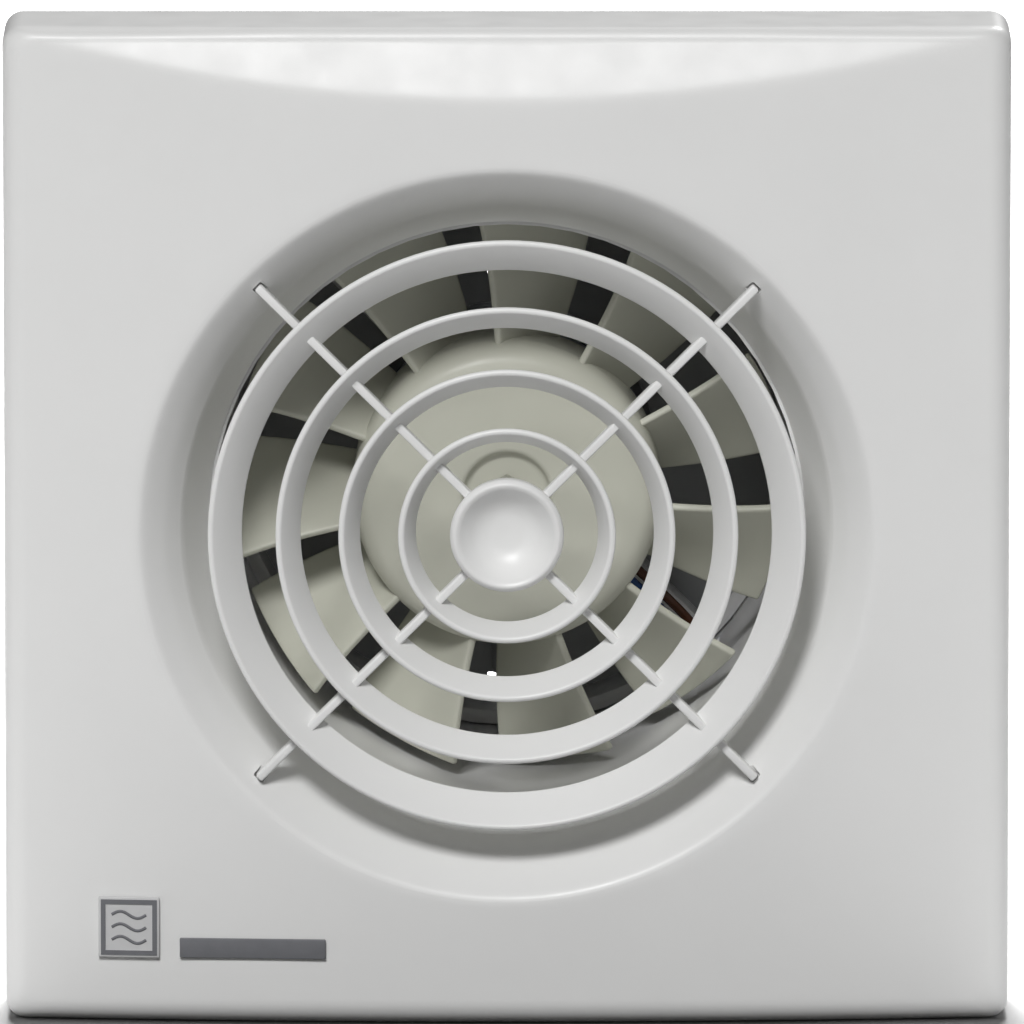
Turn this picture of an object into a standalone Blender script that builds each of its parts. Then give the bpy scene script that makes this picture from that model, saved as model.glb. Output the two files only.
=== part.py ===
"""Square-fronted axial extractor fan for a 100 mm duct.

All sizes below are in millimetres; add_piece turns them into metres. The duct axis is Y, +Y runs into the
wall, +Z is up and the wall plane is y = 0, so the front of the fan faces -Y.
"""

import math

import bmesh
import bpy
from mathutils import Matrix, Vector

METRES = 0.001
GAP = 0.3  # between pieces that rest on or fit in each other

# Front cover
COVER_WIDTH = 158.0
COVER_HEIGHT = 158.0
COVER_CENTRE_Z = 0.8  # the cover sits a little high on the duct axis
COVER_SIDE_DEPTH = 20.0  # wall to face, at the left and right edges
COVER_BULGE = 5.0  # how far the face crowns in front of its edges
COVER_BACK = -1.0
COVER_WALL = 2.2
COVER_CORNER = 3.0
EDGE_ROUND = 4.0
TOP_EDGE_ROUND = 2.0
CREASE_DROP = 10.8  # the top band's height at mid width
LIP_WIDTH = 7.2  # bell-mouth, from where it leaves the face to the start of its throat
LIP_DEPTH = 9.0
LIP_CURVE = ((0.14, 0.05), (0.36, 0.24), (0.68, 0.57), (1.0, 1.0))  # shares of its width and depth
THROAT_FLARE = 4.2  # how much the throat narrows on its way back
THROAT_BACK = -5.5

# Spigot, wall plate and its rim
SPIGOT_R = 49.0
SPIGOT_WALL = 2.5
SPIGOT_OVERHANG = 4.3  # how far it runs past the support ring, round the closed shutter
PLATE_MARGIN = 6.0  # from the cover's outside to the plate's edge
PLATE_THICK = 2.2
PAD_HEIGHT = 0.6
RIM_HEIGHT = 8.2
RIM_WALL = 1.8
PAD_SIDE = 13.0
PAD_INSET = 7.5  # pad centre from the plate's edge
SLOT_WIDTH = 4.6
SLOT_LENGTH = 8.6
CLIP_WIDTH = 8.0
CLIP_THICK = 1.8
CLIP_INSET_Z = 34.0  # clip centre from the cover's top or bottom
CLIP_BACK = -3.2
GUIDE_THICK = 2.0

# Grille
GRILLE_PROUD = 0.2
GRILLE_DEPTH = 5.3
LOUVRE_INSETS = (3.6, 14.3, 24.2, 33.6)  # from the throat's start to each ring's front edge
LOUVRE_LEAN = (6.0, 4.4, 3.8, 3.1)  # how much smaller each ring is at its back
LOUVRE_THICK = 1.4
HUB_DISH_R = 9.0
SPOKE_WIDTH = 1.3
SPOKE_SEAT = 3.2  # from a spoke's tip to the bell-mouth's outer edge
SPOKE_SET_BACK = 1.6  # a spoke's front edge behind the rings' front edges

# Badge
BADGE_SIDE = 9.6
BADGE_THICK = 0.7
BADGE_INSET_X = 19.5  # badge centre from the cover's left edge
BADGE_INSET_Z = 15.5
NAME_BAR_WIDTH = 23.0
NAME_BAR_HEIGHT = 3.2
NAME_BAR_STEP = 19.5  # badge centre to bar centre

# Impeller
BLADES = 11
TIP_CLEARANCE = 2.0
BLADE_FRONT = 16.0
BLADE_DEPTH = 14.0
BLADE_WRAP = 23.2  # degrees round the axis from leading to trailing edge
BLADE_START = 29.0  # degrees clockwise from the top, seen from the front
BLADE_SWEEP = 2.0
BLADE_THICK = 1.5
HUB_OVER_MOTOR = 0.5  # hub radius less motor radius
HUB_WALL = 2.2
HUB_NOSE = 3.0  # hub front to blade front
HUB_TAIL = 1.5  # blade back to hub back
SLEEVE_R = 5.0
NUT_HEIGHT = 2.6

# Motor
SHAFT_R = 1.5
SHAFT_PROUD = 4.4  # shaft end in front of the hub
MOTOR_R = 24.0
HUB_TO_MOTOR = 0.8
SHIELD_DEPTH = 5.7
SHIELD_WALL = 2.0
CORE_LENGTH = 17.7
BOSS_R = 7.5
BEARING_R = 5.0
BEARING_WIDTH = 4.0
ROTOR_R = 11.5
AIR_GAP = 0.5
YOKE = 4.5
POLE_SPAN = 44.0
COIL_HALF = 9.3
COIL_WALL = 2.5
COIL_HEIGHT = 4.0
BOLT_R = 1.25
BOLT_INSET = 2.6  # bolt centre from the motor's outside
BOLT_BOSS = 1.3
BOSS_IN = 0.985  # a bolt boss stands this much nearer the shaft than its bolt

# Motor support and back-draught shutter
RING_WALL = 2.2
RING_LENGTH = 13.7
RING_LEAD = 3.3  # ring front ahead of the support plate
ARM_LENGTH = 8.0
DAMPER_R = 4.2
DAMPER_CIRCLE_R = 16.0
DAMPER_LENGTH = 6.4
PLATE_IN_MOTOR = 1.5  # motor radius less support plate radius
SUPPORT_PLATE_THICK = 2.5
ARM_WIDTH = 3.0
SCREW_R = 1.5
ROD_R = 1.25
FLAP_THICK = 1.2
FLAP_CLEARANCE = 1.0
FLAP_EDGE_X = 3.2
KNUCKLE_R = 2.5
LUG_HALF = 4.0
LUG_HEIGHT = 1.4
NOTCH_HALF = 5.5
SPRING_LOW = 3.4  # the coil's ends, along the rod from its middle
SPRING_HIGH = 9.4
LEG_NOTCH = 6.5  # how far a flap's edge is cut back for the other flap's spring leg

# Wiring corner, lower right
TERMINAL_INSET_X = 17.0  # terminal block centre from the plate's edges
TERMINAL_INSET_Z = 22.0
TERMINAL_SIZE = (18.0, 9.5, 11.0)
TERMINAL_PITCH = 8.0
CABLE_INSET_X = 13.0
CABLE_Z = -20.0
CABLE_HOLE_R = 6.5
GROMMET_BORE_R = 4.2
CLAMP_STEP = 15.5  # clamp centre above the terminal block's
CLAMP_REACH = 6.5  # clamp screws either side of the cable
CLAMP_THICK = 4.0
CLAMP_BOSS = 3.0
LEAD_R = 0.75
LEAD_PITCH = 2.0
GROOVE_DEPTH = 1.8
GROOVE_WIDTH = 4.6

# Worked out from the sizes above
COVER_HALF = COVER_WIDTH / 2
COVER_TOP = COVER_CENTRE_Z + COVER_HEIGHT / 2
COVER_BOTTOM = COVER_CENTRE_Z - COVER_HEIGHT / 2
PLATE_HALF = COVER_HALF - PLATE_MARGIN
PLATE_HALF_HEIGHT = COVER_HEIGHT / 2 - PLATE_MARGIN
PLATE_BACK = -PAD_HEIGHT
PLATE_FRONT = PLATE_BACK - PLATE_THICK
RIM_FRONT = PLATE_FRONT - RIM_HEIGHT
TUBE_R = SPIGOT_R - SPIGOT_WALL
TUBE_FRONT = THROAT_BACK + GAP
THROAT_R = TUBE_R + 0.5
LIP_INNER_R = THROAT_R + THROAT_FLARE
LIP_OUTER_R = LIP_INNER_R + LIP_WIDTH
GRILLE_FRONT = -COVER_SIDE_DEPTH - COVER_BULGE - GRILLE_PROUD
SPOKE_FRONT = GRILLE_FRONT + SPOKE_SET_BACK
SPOKE_BACK = GRILLE_FRONT + GRILLE_DEPTH
SPOKE_TIP_R = LIP_OUTER_R - SPOKE_SEAT
BADGE_X = BADGE_INSET_X - COVER_HALF
BADGE_Z = COVER_BOTTOM + BADGE_INSET_Z
NAME_BAR_X = BADGE_X + NAME_BAR_STEP
BLADE_TIP_R = TUBE_R - TIP_CLEARANCE
HUB_R = MOTOR_R + HUB_OVER_MOTOR
HUB_FRONT = BLADE_FRONT - HUB_NOSE
HUB_BACK = BLADE_FRONT + BLADE_DEPTH + HUB_TAIL
SHAFT_FRONT = HUB_FRONT - SHAFT_PROUD
MOTOR_FRONT = HUB_BACK + HUB_TO_MOTOR
CORE_FRONT = MOTOR_FRONT + SHIELD_DEPTH + GAP
CORE_BACK = CORE_FRONT + CORE_LENGTH
REAR_SHIELD_FRONT = CORE_BACK + GAP
MOTOR_BACK = REAR_SHIELD_FRONT + SHIELD_DEPTH + GAP
FRONT_BEARING = MOTOR_FRONT - 2.3
REAR_BEARING = MOTOR_BACK - SHIELD_WALL + GAP
POLE_R = ROTOR_R + AIR_GAP
SLOT_R = MOTOR_R - YOKE
COIL_INNER_Z = POLE_R + 0.6
COIL_OUTER_Z = COIL_INNER_Z + COIL_HEIGHT
BOLT_CIRCLE_R = MOTOR_R - BOLT_INSET
SUPPORT_PLATE_R = MOTOR_R - PLATE_IN_MOTOR
SUPPORT_PLATE_FRONT = MOTOR_BACK + GAP + DAMPER_LENGTH + GAP
RING_R = TUBE_R - GAP
RING_FRONT = SUPPORT_PLATE_FRONT - RING_LEAD
RING_BACK = RING_FRONT + RING_LENGTH
LUG_INNER_Z = RING_R - RING_WALL - LUG_HEIGHT
ROD_Y = RING_BACK + GAP + FLAP_THICK / 2
FLAP_R = TUBE_R - FLAP_CLEARANCE
SPIGOT_BACK = RING_BACK + SPIGOT_OVERHANG
TERMINAL_X = PLATE_HALF - TERMINAL_INSET_X
TERMINAL_Z = COVER_CENTRE_Z - PLATE_HALF_HEIGHT + TERMINAL_INSET_Z
CABLE_X = PLATE_HALF - CABLE_INSET_X
CLAMP_Z = TERMINAL_Z + CLAMP_STEP
CLAMP_BACK = PLATE_FRONT - CLAMP_BOSS - GAP
DIAGONAL = math.sqrt(0.5)


def clear_scene():
    for thing in list(bpy.data.objects):
        bpy.data.objects.remove(thing)


def surface(name, colour, roughness, metallic=0.0):
    """A plain Principled material."""
    made = bpy.data.materials.new(name)
    made.use_nodes = True
    shader = made.node_tree.nodes["Principled BSDF"]
    shader.inputs["Base Color"].default_value = (*colour, 1.0)
    shader.inputs["Roughness"].default_value = roughness
    shader.inputs["Metallic"].default_value = metallic
    return made


def pivot(name, x, y, z):
    """An empty that stands on a joint's axis."""
    empty = bpy.data.objects.new(name, None)
    empty.location = Vector((x, y, z)) * METRES
    bpy.context.scene.collection.objects.link(empty)
    bpy.context.view_layer.update()
    return empty


def add_piece(name, shape, look, parent=None):
    """Turn a bmesh in millimetres and world places into an object in metres under its parent's pivot."""
    place = parent.location if parent else Vector()
    shape.transform(Matrix.Translation(-place) @ Matrix.Scale(METRES, 4))
    mesh = bpy.data.meshes.new(name)
    shape.to_mesh(mesh)
    shape.free()
    mesh.shade_smooth()
    mesh.set_sharp_from_angle(angle=math.radians(35))
    piece = bpy.data.objects.new(name, mesh)
    bpy.context.scene.collection.objects.link(piece)
    piece.parent = parent
    if look:
        mesh.materials.append(look)
    return piece


def combine(piece, shape, operation):
    """Join a shape to a piece, or cut it out of the piece, with a hidden tool object."""
    name = f"tool.{piece.name}.{len(piece.modifiers)}"
    tool = add_piece(name, shape, None, piece.parent)
    tool.hide_render = True
    tool.display_type = "WIRE"
    step = piece.modifiers.new(name, "BOOLEAN")
    step.operation = operation
    step.solver = "EXACT"
    step.object = tool


def fuse(piece, shape):
    combine(piece, shape, "UNION")


def cut(piece, shape):
    combine(piece, shape, "DIFFERENCE")


def tidy(shape):
    """Close seams and poles, and turn every face outwards."""
    bmesh.ops.remove_doubles(shape, verts=shape.verts, dist=0.001)
    bmesh.ops.recalc_face_normals(shape, faces=shape.faces)
    return shape


def together(*shapes):
    """One bmesh that holds several shapes that stay clear of each other."""
    joined = bmesh.new()
    for shape in shapes:
        mesh = bpy.data.meshes.new("scratch")
        shape.to_mesh(mesh)
        shape.free()
        joined.from_mesh(mesh)
        bpy.data.meshes.remove(mesh)
    return joined


def box(low, high):
    shape = bmesh.new()
    low, high = Vector(low), Vector(high)
    middle = (low + high) / 2
    size = high - low
    place = Matrix.Translation(middle) @ Matrix.Diagonal((*size, 1.0))
    bmesh.ops.create_cube(shape, size=1.0, matrix=place)
    return shape


def turned(profile, steps=28, centre=(0.0, 0.0), axis="Y"):
    """Spin an outline of (radius, place along the axis) points. It stays open where it ends on the axis."""
    shape = bmesh.new()
    verts = [shape.verts.new((radius, along, 0.0)) for radius, along in profile]
    on_axis = profile[0][0] == 0.0 and profile[-1][0] == 0.0
    count = len(verts)
    last = count - 1 if on_axis else count
    edges = [shape.edges.new((verts[i], verts[(i + 1) % count])) for i in range(last)]
    bmesh.ops.spin(
        shape,
        geom=verts + edges,
        cent=(0, 0, 0),
        axis=(0, 1, 0),
        angle=math.tau,
        steps=steps,
        use_merge=True,
    )
    tidy(shape)
    if axis == "Z":
        shape.transform(Matrix.Translation((*centre, 0)) @ Matrix.Rotation(math.pi / 2, 4, "X"))
    else:
        shape.transform(Matrix.Translation((centre[0], 0, centre[1])))
    return shape


def cylinder(radius, start, end, steps=16, centre=(0.0, 0.0), axis="Y"):
    return turned([(0.0, start), (radius, start), (radius, end), (0.0, end)], steps, centre, axis)


def tube(inner, outer, start, end, steps=40, centre=(0.0, 0.0), axis="Y"):
    corners = [(outer, start), (outer, end), (inner, end), (inner, start)]
    return turned(corners, steps, centre, axis)


def prism(outline, front, back):
    """Extrude an outline of (x, z) points along Y."""
    shape = bmesh.new()
    face = shape.faces.new([shape.verts.new((x, front, z)) for x, z in outline])
    grown = bmesh.ops.extrude_face_region(shape, geom=[face])
    moved = [part for part in grown["geom"] if isinstance(part, bmesh.types.BMVert)]
    bmesh.ops.translate(shape, verts=moved, vec=(0, back - front, 0))
    return tidy(shape)


def rounded_rectangle(x0, x1, z0, z1, radius, steps=3):
    """(x, z) points round a rectangle with round corners, clockwise from the top left."""
    corners = (
        (x0 + radius, z1 - radius, 270),
        (x1 - radius, z1 - radius, 0),
        (x1 - radius, z0 + radius, 90),
        (x0 + radius, z0 + radius, 180),
    )
    points = []
    for x, z, start in corners:
        for step in range(steps + 1):
            turn = math.radians(start + 90 * step / steps)
            points.append((x + radius * math.sin(turn), z + radius * math.cos(turn)))
    return points


def turn_about_duct(shape, degrees):
    """Turn a shape about the duct axis, clockwise seen from the front."""
    shape.transform(Matrix.Rotation(math.radians(degrees), 4, "Y"))
    return shape


# ---------------------------------------------------------------- front cover


def face_y(x):
    """The crowned face: deepest at mid width, straight up and down."""
    return -COVER_SIDE_DEPTH - COVER_BULGE * (1 - (x / COVER_HALF) ** 2)


def crease_z(x):
    """Where the sloping top band meets the crowned face."""
    return COVER_TOP - CREASE_DROP * (1 - (x / COVER_HALF) ** 2)


def band_y(z):
    """The flat top band, which leans back to the side depth at the cover's top."""
    return -COVER_SIDE_DEPTH - COVER_BULGE * (COVER_TOP - z) / CREASE_DROP


def perimeter(side_inset, top_inset, bottom_inset, steps=14, corner_steps=2):
    """(x, z) points round the cover's outline, closer together near the corners."""
    x1 = COVER_HALF - side_inset
    z1 = COVER_TOP - top_inset
    z0 = COVER_BOTTOM + bottom_inset
    radius = COVER_CORNER
    reach = [math.tan(math.pi / 4 * (2 * i / steps - 1)) for i in range(1, steps)]
    corners = rounded_rectangle(-x1, x1, z0, z1, radius, corner_steps)
    points = []
    for side in range(4):
        arc = corners[side * (corner_steps + 1) : (side + 1) * (corner_steps + 1)]
        start = arc[-1]
        end = corners[(side + 1) * (corner_steps + 1) % len(corners)]
        points += arc
        for share in reach:
            part = (share + 1) / 2
            x = start[0] + (end[0] - start[0]) * part
            z = start[1] + (end[1] - start[1]) * part
            points.append((x, z))
    return points


def on_circle(points, radius):
    """The same number of points on a circle about the duct axis, each in line with its outline point."""
    placed = []
    for x, z in points:
        turn = math.atan2(x, z)
        placed.append((radius * math.sin(turn), radius * math.cos(turn)))
    return placed


def blend(first, second, share):
    return [
        (a[0] + (b[0] - a[0]) * share, a[1] + (b[1] - a[1]) * share) for a, b in zip(first, second)
    ]


def cover_rings(inward):
    """Rings of the cover's skin from its back edge to the end of its throat, moved inward by a wall."""
    edge = perimeter(inward, inward, inward)
    rounded = perimeter(EDGE_ROUND, TOP_EDGE_ROUND, EDGE_ROUND)
    crown_edge = perimeter(EDGE_ROUND + 0.8, TOP_EDGE_ROUND + 0.8, EDGE_ROUND + 0.8)
    crease = [(x, min(z, crease_z(x)) if z > 0 else z) for x, z in crown_edge]
    lip = on_circle(edge, LIP_OUTER_R)
    rings = [[Vector((x, COVER_BACK, z)) for x, z in edge]]
    front = [face_y(x) if z < crease_z(x) else band_y(z) for x, z in rounded]
    for step in (90, 60, 30, 0):
        turn = math.radians(step)
        ring = []
        for (ex, ez), (rx, rz), y in zip(edge, rounded, front):
            across = Vector((ex - rx, 0, ez - rz))
            depth = max(abs(across.x), abs(across.z))
            place = Vector((rx, y + inward, rz)) + across * math.sin(turn)
            ring.append(place + Vector((0, depth * (1 - math.cos(turn)), 0)))
        rings.append(ring)
    for share in (0.0, 0.5, 1.0):
        rings.append([Vector((x, face_y(x) + inward, z)) for x, z in blend(crease, lip, share)])
    for across, down in LIP_CURVE:
        lean = math.atan2(LIP_DEPTH * down, LIP_WIDTH * across) * down**0.3
        radius = LIP_OUTER_R - LIP_WIDTH * across + inward * math.sin(lean)
        drop = LIP_DEPTH * down + inward * math.cos(lean)
        ring = []
        for x, z in on_circle(edge, radius):
            crown = face_y(x) * (1 - down) + face_y(0) * down
            ring.append(Vector((x, crown + drop, z)))
        rings.append(ring)
    rings.append([Vector((x, THROAT_BACK, z)) for x, z in on_circle(edge, THROAT_R + inward * 0.9)])
    return rings


def skin(rings):
    """Quads between neighbouring rings, each ring closed on itself, and the last ring joined to the first."""
    shape = bmesh.new()
    rows = [[shape.verts.new(place) for place in ring] for ring in rings]
    count = len(rows[0])
    for row, following in zip(rows, rows[1:] + rows[:1]):
        for j in range(count):
            k = (j + 1) % count
            shape.faces.new((row[j], row[k], following[k], following[j]))
    bmesh.ops.recalc_face_normals(shape, faces=shape.faces)
    return shape


def clip_places():
    """(side, z) of the cover's four push-in clips."""
    reach = COVER_HEIGHT / 2 - CLIP_INSET_Z
    return [(side, COVER_CENTRE_Z + up * reach) for side in (-1, 1) for up in (-1, 1)]


def clip_x():
    """Inner and outer x of a clip, which stands outside the rim with room for its guides."""
    inner = PLATE_HALF + 0.5
    return inner, inner + CLIP_THICK


def front_cover(look):
    outside = cover_rings(0.0)
    inside = cover_rings(COVER_WALL)
    cover = add_piece("front_cover", skin(outside + inside[::-1]), look)
    inner, outer = clip_x()
    root = face_y(outer) + COVER_WALL * 0.4
    clips = []
    for side, z in clip_places():
        low = (min(side * inner, side * outer), root, z - CLIP_WIDTH / 2)
        high = (max(side * inner, side * outer), CLIP_BACK, z + CLIP_WIDTH / 2)
        clips.append(box(low, high))
    fuse(cover, together(*clips))
    half = SPOKE_WIDTH / 2 + GAP
    slots = []
    for quarter in range(4):
        slot = box(
            (-half, SPOKE_FRONT - 3.0, THROAT_R + 2.0),
            (half, SPOKE_BACK + GAP, SPOKE_TIP_R + GAP),
        )
        slots.append(turn_about_duct(slot, 45 + 90 * quarter))
    cut(cover, together(*slots))
    return cover


def inlet_grille(look):
    """Leaning louvre rings and a dished hub on four thin spokes, moulded in one."""
    back = GRILLE_FRONT + GRILLE_DEPTH
    rings = []
    for inset, lean in zip(LOUVRE_INSETS, LOUVRE_LEAN):
        radius = LIP_INNER_R - inset
        small = radius - lean
        rings.append(
            turned(
                [
                    (radius, GRILLE_FRONT + 0.5),
                    (radius - 0.6, GRILLE_FRONT),
                    (radius - LOUVRE_THICK - 0.3, GRILLE_FRONT + 0.4),
                    (small - LOUVRE_THICK * 0.4, back - 0.2),
                    (small + LOUVRE_THICK * 0.6, back),
                ],
                40,
            )
        )
    hub = turned(
        [
            (0.0, GRILLE_FRONT + 3.4),
            (4.2, GRILLE_FRONT + 2.9),
            (7.0, GRILLE_FRONT + 1.0),
            (8.2, GRILLE_FRONT),
            (HUB_DISH_R, GRILLE_FRONT + 0.5),
            (HUB_DISH_R - 0.5, back + 0.4),
            (0.0, back + 0.4),
        ],
        24,
    )
    half = SPOKE_WIDTH / 2
    bars = [
        box((-SPOKE_TIP_R, SPOKE_FRONT, -half), (SPOKE_TIP_R, SPOKE_BACK, half)),
        box((-half, SPOKE_FRONT, HUB_DISH_R * 0.6), (half, SPOKE_BACK, SPOKE_TIP_R)),
        box((-half, SPOKE_FRONT, -SPOKE_TIP_R), (half, SPOKE_BACK, -HUB_DISH_R * 0.6)),
    ]
    grille = add_piece("inlet_grille", turn_about_duct(bars[0], 45), look)
    fuse(grille, together(*rings, hub))
    fuse(grille, turn_about_duct(together(*bars[1:]), 45))
    return grille


def badge(look):
    """A thin square plate that lies on the crowned face, lower left."""
    low = face_y(BADGE_X - BADGE_SIDE / 2) - GAP
    half = BADGE_SIDE / 2
    left, right = BADGE_X - half, BADGE_X + half
    outline = rounded_rectangle(left, right, BADGE_Z - half, BADGE_Z + half, 1.0, 2)
    plate = prism(outline, low - BADGE_THICK, low)
    lean = (face_y(BADGE_X + half) - face_y(BADGE_X - half)) / BADGE_SIDE
    for vert in plate.verts:
        vert.co.y += lean * (vert.co.x - BADGE_X + half)
    return add_piece("badge", plate, look)


def name_bar(look):
    """A plain bar in the place of lettering, beside the badge."""
    half = NAME_BAR_WIDTH / 2
    start = NAME_BAR_X - half
    outline = rounded_rectangle(
        start,
        NAME_BAR_X + half,
        BADGE_Z - BADGE_SIDE / 2,
        BADGE_Z - BADGE_SIDE / 2 + NAME_BAR_HEIGHT,
        0.8,
        2,
    )
    low = face_y(start) - GAP
    bar = prism(outline, low - BADGE_THICK * 0.6, low)
    lean = (face_y(NAME_BAR_X + half) - face_y(start)) / NAME_BAR_WIDTH
    for vert in bar.verts:
        vert.co.y += lean * (vert.co.x - start)
    return add_piece("name_bar", bar, look)


# --------------------------------------------------------------- base housing


def pad_places():
    """(x, z) of the four wall pads with their screw slots."""
    across = PLATE_HALF - PAD_INSET
    up = PLATE_HALF_HEIGHT - PAD_INSET
    return [(side * across, COVER_CENTRE_Z + rise * up) for side in (-1, 1) for rise in (-1, 1)]


def plate_outline(inset):
    half_z = PLATE_HALF_HEIGHT - inset
    return rounded_rectangle(
        -PLATE_HALF + inset,
        PLATE_HALF - inset,
        COVER_CENTRE_Z - half_z,
        COVER_CENTRE_Z + half_z,
        4.0,
    )


def clip_guides():
    """Two ribs beside each clip, standing on the outside of the rim."""
    outer = clip_x()[1] + GAP
    guides = []
    for side, z in clip_places():
        for beside in (-1, 1):
            near = z + beside * (CLIP_WIDTH / 2 + GAP)
            far = near + beside * GUIDE_THICK
            x0, x1 = sorted((side * (PLATE_HALF - RIM_WALL / 2), side * outer))
            z0, z1 = sorted((near, far))
            guides.append(box((x0, RIM_FRONT + 0.6, z0), (x1, PLATE_BACK - 0.4, z1)))
    return guides


def snap_windows():
    """Four windows at the spigot's end that take the support ring's bumps."""
    windows = []
    for quarter in range(4):
        window = box((-4.6, RING_FRONT + 5.5, TUBE_R - 2), (4.6, RING_FRONT + 9.6, SPIGOT_R + 2))
        windows.append(turn_about_duct(window, 45 + 90 * quarter))
    return windows


def clamp_screw_places():
    """(x, z) of the two screws either side of the cable."""
    return [(CABLE_X - CLAMP_REACH, CLAMP_Z), (CABLE_X + CLAMP_REACH, CLAMP_Z)]


def lead_groove():
    """A groove along the outside of the spigot and the window where the leads come out of it, lower right."""
    half = GROOVE_WIDTH / 2
    groove = box(
        (-half, PLATE_FRONT - 4.0, SPIGOT_R - GROOVE_DEPTH),
        (half, MOTOR_BACK + 1.2, SPIGOT_R + 0.6),
    )
    window = box(
        (-half + 0.2, MOTOR_BACK - 14.3, TUBE_R - 2),
        (half - 0.2, MOTOR_BACK + 0.7, SPIGOT_R - GROOVE_DEPTH + 0.4),
    )
    return turn_about_duct(groove, 135), turn_about_duct(window, 135)


def base_housing(look):
    tray = add_piece("base_housing", prism(plate_outline(0.0), RIM_FRONT, PLATE_BACK), look)
    cut(tray, prism(plate_outline(RIM_WALL), RIM_FRONT - 1.0, PLATE_FRONT))
    fuse(tray, cylinder(SPIGOT_R, TUBE_FRONT, SPIGOT_BACK, 56))
    half = PAD_SIDE / 2
    pads = []
    for x, z in pad_places():
        pads.append(box((x - half, PLATE_BACK - 0.5, z - half), (x + half, 0.0, z + half)))
    bosses = [
        cylinder(2.9, PLATE_FRONT - CLAMP_BOSS, PLATE_FRONT + 0.5, 16, place)
        for place in clamp_screw_places()
    ]
    fuse(tray, together(*pads, *bosses, *clip_guides()))
    cut(tray, cylinder(TUBE_R, TUBE_FRONT - 2, SPIGOT_BACK + 2, 56))
    slots = []
    for x, z in pad_places():
        reach = SLOT_LENGTH / 2
        outline = rounded_rectangle(
            x - reach,
            x + reach,
            z - SLOT_WIDTH / 2,
            z + SLOT_WIDTH / 2,
            SLOT_WIDTH / 2 - 0.01,
            4,
        )
        slots.append(prism(outline, PLATE_FRONT - 1.0, 1.0))
    hole = cylinder(CABLE_HOLE_R, PLATE_FRONT - 1.0, 1.0, 24, (CABLE_X, CABLE_Z))
    groove, window = lead_groove()
    screw_holes = [
        cylinder(SCREW_R + GAP, PLATE_FRONT - CLAMP_BOSS - 1.0, PLATE_BACK - 0.6, 12, place)
        for place in clamp_screw_places()
    ]
    cut(tray, together(*slots, hole, groove, *screw_holes, *snap_windows()))
    cut(tray, window)
    return tray


# ------------------------------------------------------------------- impeller


def blade(start):
    """One helical blade, thickest at mid chord, from inside the hub's wall to the tip circle."""
    rows, columns = 3, 4
    root = HUB_R - HUB_WALL * 0.6
    middle = []
    for i in range(rows + 1):
        share = i / rows
        radius = root + (BLADE_TIP_R - root) * share
        line = []
        for j in range(columns + 1):
            along = j / columns
            turn = math.radians(start - BLADE_SWEEP * share**2 + BLADE_WRAP * along)
            y = BLADE_FRONT + BLADE_DEPTH * (along + 0.10 * math.sin(math.pi * along))
            line.append(Vector((radius * math.sin(turn), y, radius * math.cos(turn))))
        middle.append(line)
    front, back = [], []
    for i in range(rows + 1):
        for j in range(columns + 1):
            outward = middle[min(i + 1, rows)][j] - middle[max(i - 1, 0)][j]
            chordwise = middle[i][min(j + 1, columns)] - middle[i][max(j - 1, 0)]
            normal = outward.cross(chordwise).normalized()
            half = BLADE_THICK * (0.3 + 0.2 * math.sin(math.pi * j / columns))
            front.append(middle[i][j] + normal * half)
            back.append(middle[i][j] - normal * half)
    shape = bmesh.new()
    top = [shape.verts.new(place) for place in front]
    low = [shape.verts.new(place) for place in back]
    width = columns + 1
    for i in range(rows):
        for j in range(columns):
            a = i * width + j
            quad = (a, a + 1, a + width + 1, a + width)
            shape.faces.new([top[k] for k in quad])
            shape.faces.new([low[k] for k in reversed(quad)])
    rim = list(range(width))
    rim += [i * width + columns for i in range(1, rows + 1)]
    rim += [rows * width + j for j in range(columns - 1, -1, -1)]
    rim += [i * width for i in range(rows - 1, 0, -1)]
    for a, b in zip(rim, rim[1:] + rim[:1]):
        shape.faces.new((top[a], top[b], low[b], low[a]))
    return tidy(shape)


def impeller(look, axle):
    """Eleven blades on a cupped hub that hangs over the motor's nose."""
    inner = HUB_R - HUB_WALL
    hub = turned(
        [
            (SHAFT_R + GAP, HUB_FRONT + 1.6),
            (6.6, HUB_FRONT + 1.6),
            (7.2, HUB_FRONT),
            (19.6, HUB_FRONT),
            (22.4, HUB_FRONT + 0.8),
            (HUB_R - 0.6, HUB_FRONT + 2.4),
            (HUB_R, HUB_FRONT + 4.6),
            (HUB_R, HUB_BACK),
            (inner, HUB_BACK),
            (inner, HUB_FRONT + 5.4),
            (inner - 2.2, HUB_FRONT + 3.4),
            (SLEEVE_R + 0.6, HUB_FRONT + 3.4),
            (SLEEVE_R, MOTOR_FRONT - 4.8),
            (SHAFT_R + GAP, MOTOR_FRONT - 4.8),
        ],
        32,
    )
    wheel = add_piece("impeller", hub, look, axle)
    blades = [blade(BLADE_START + 360 / BLADES * k) for k in range(BLADES)]
    fuse(wheel, together(*blades))
    return wheel


def hexagon(half_flats):
    corner = half_flats / math.cos(math.pi / 6)
    turns = [math.pi / 3 * k for k in range(6)]
    return [(corner * math.sin(turn), corner * math.cos(turn)) for turn in turns]


def impeller_nut(look, axle):
    front = HUB_FRONT + 1.6 - GAP - NUT_HEIGHT
    nut = add_piece("impeller_nut", prism(hexagon(3.0), front, front + NUT_HEIGHT), look, axle)
    cut(nut, cylinder(SHAFT_R + GAP, front - 1, front + 4, 20))
    return nut


# ---------------------------------------------------------------------- motor


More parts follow.
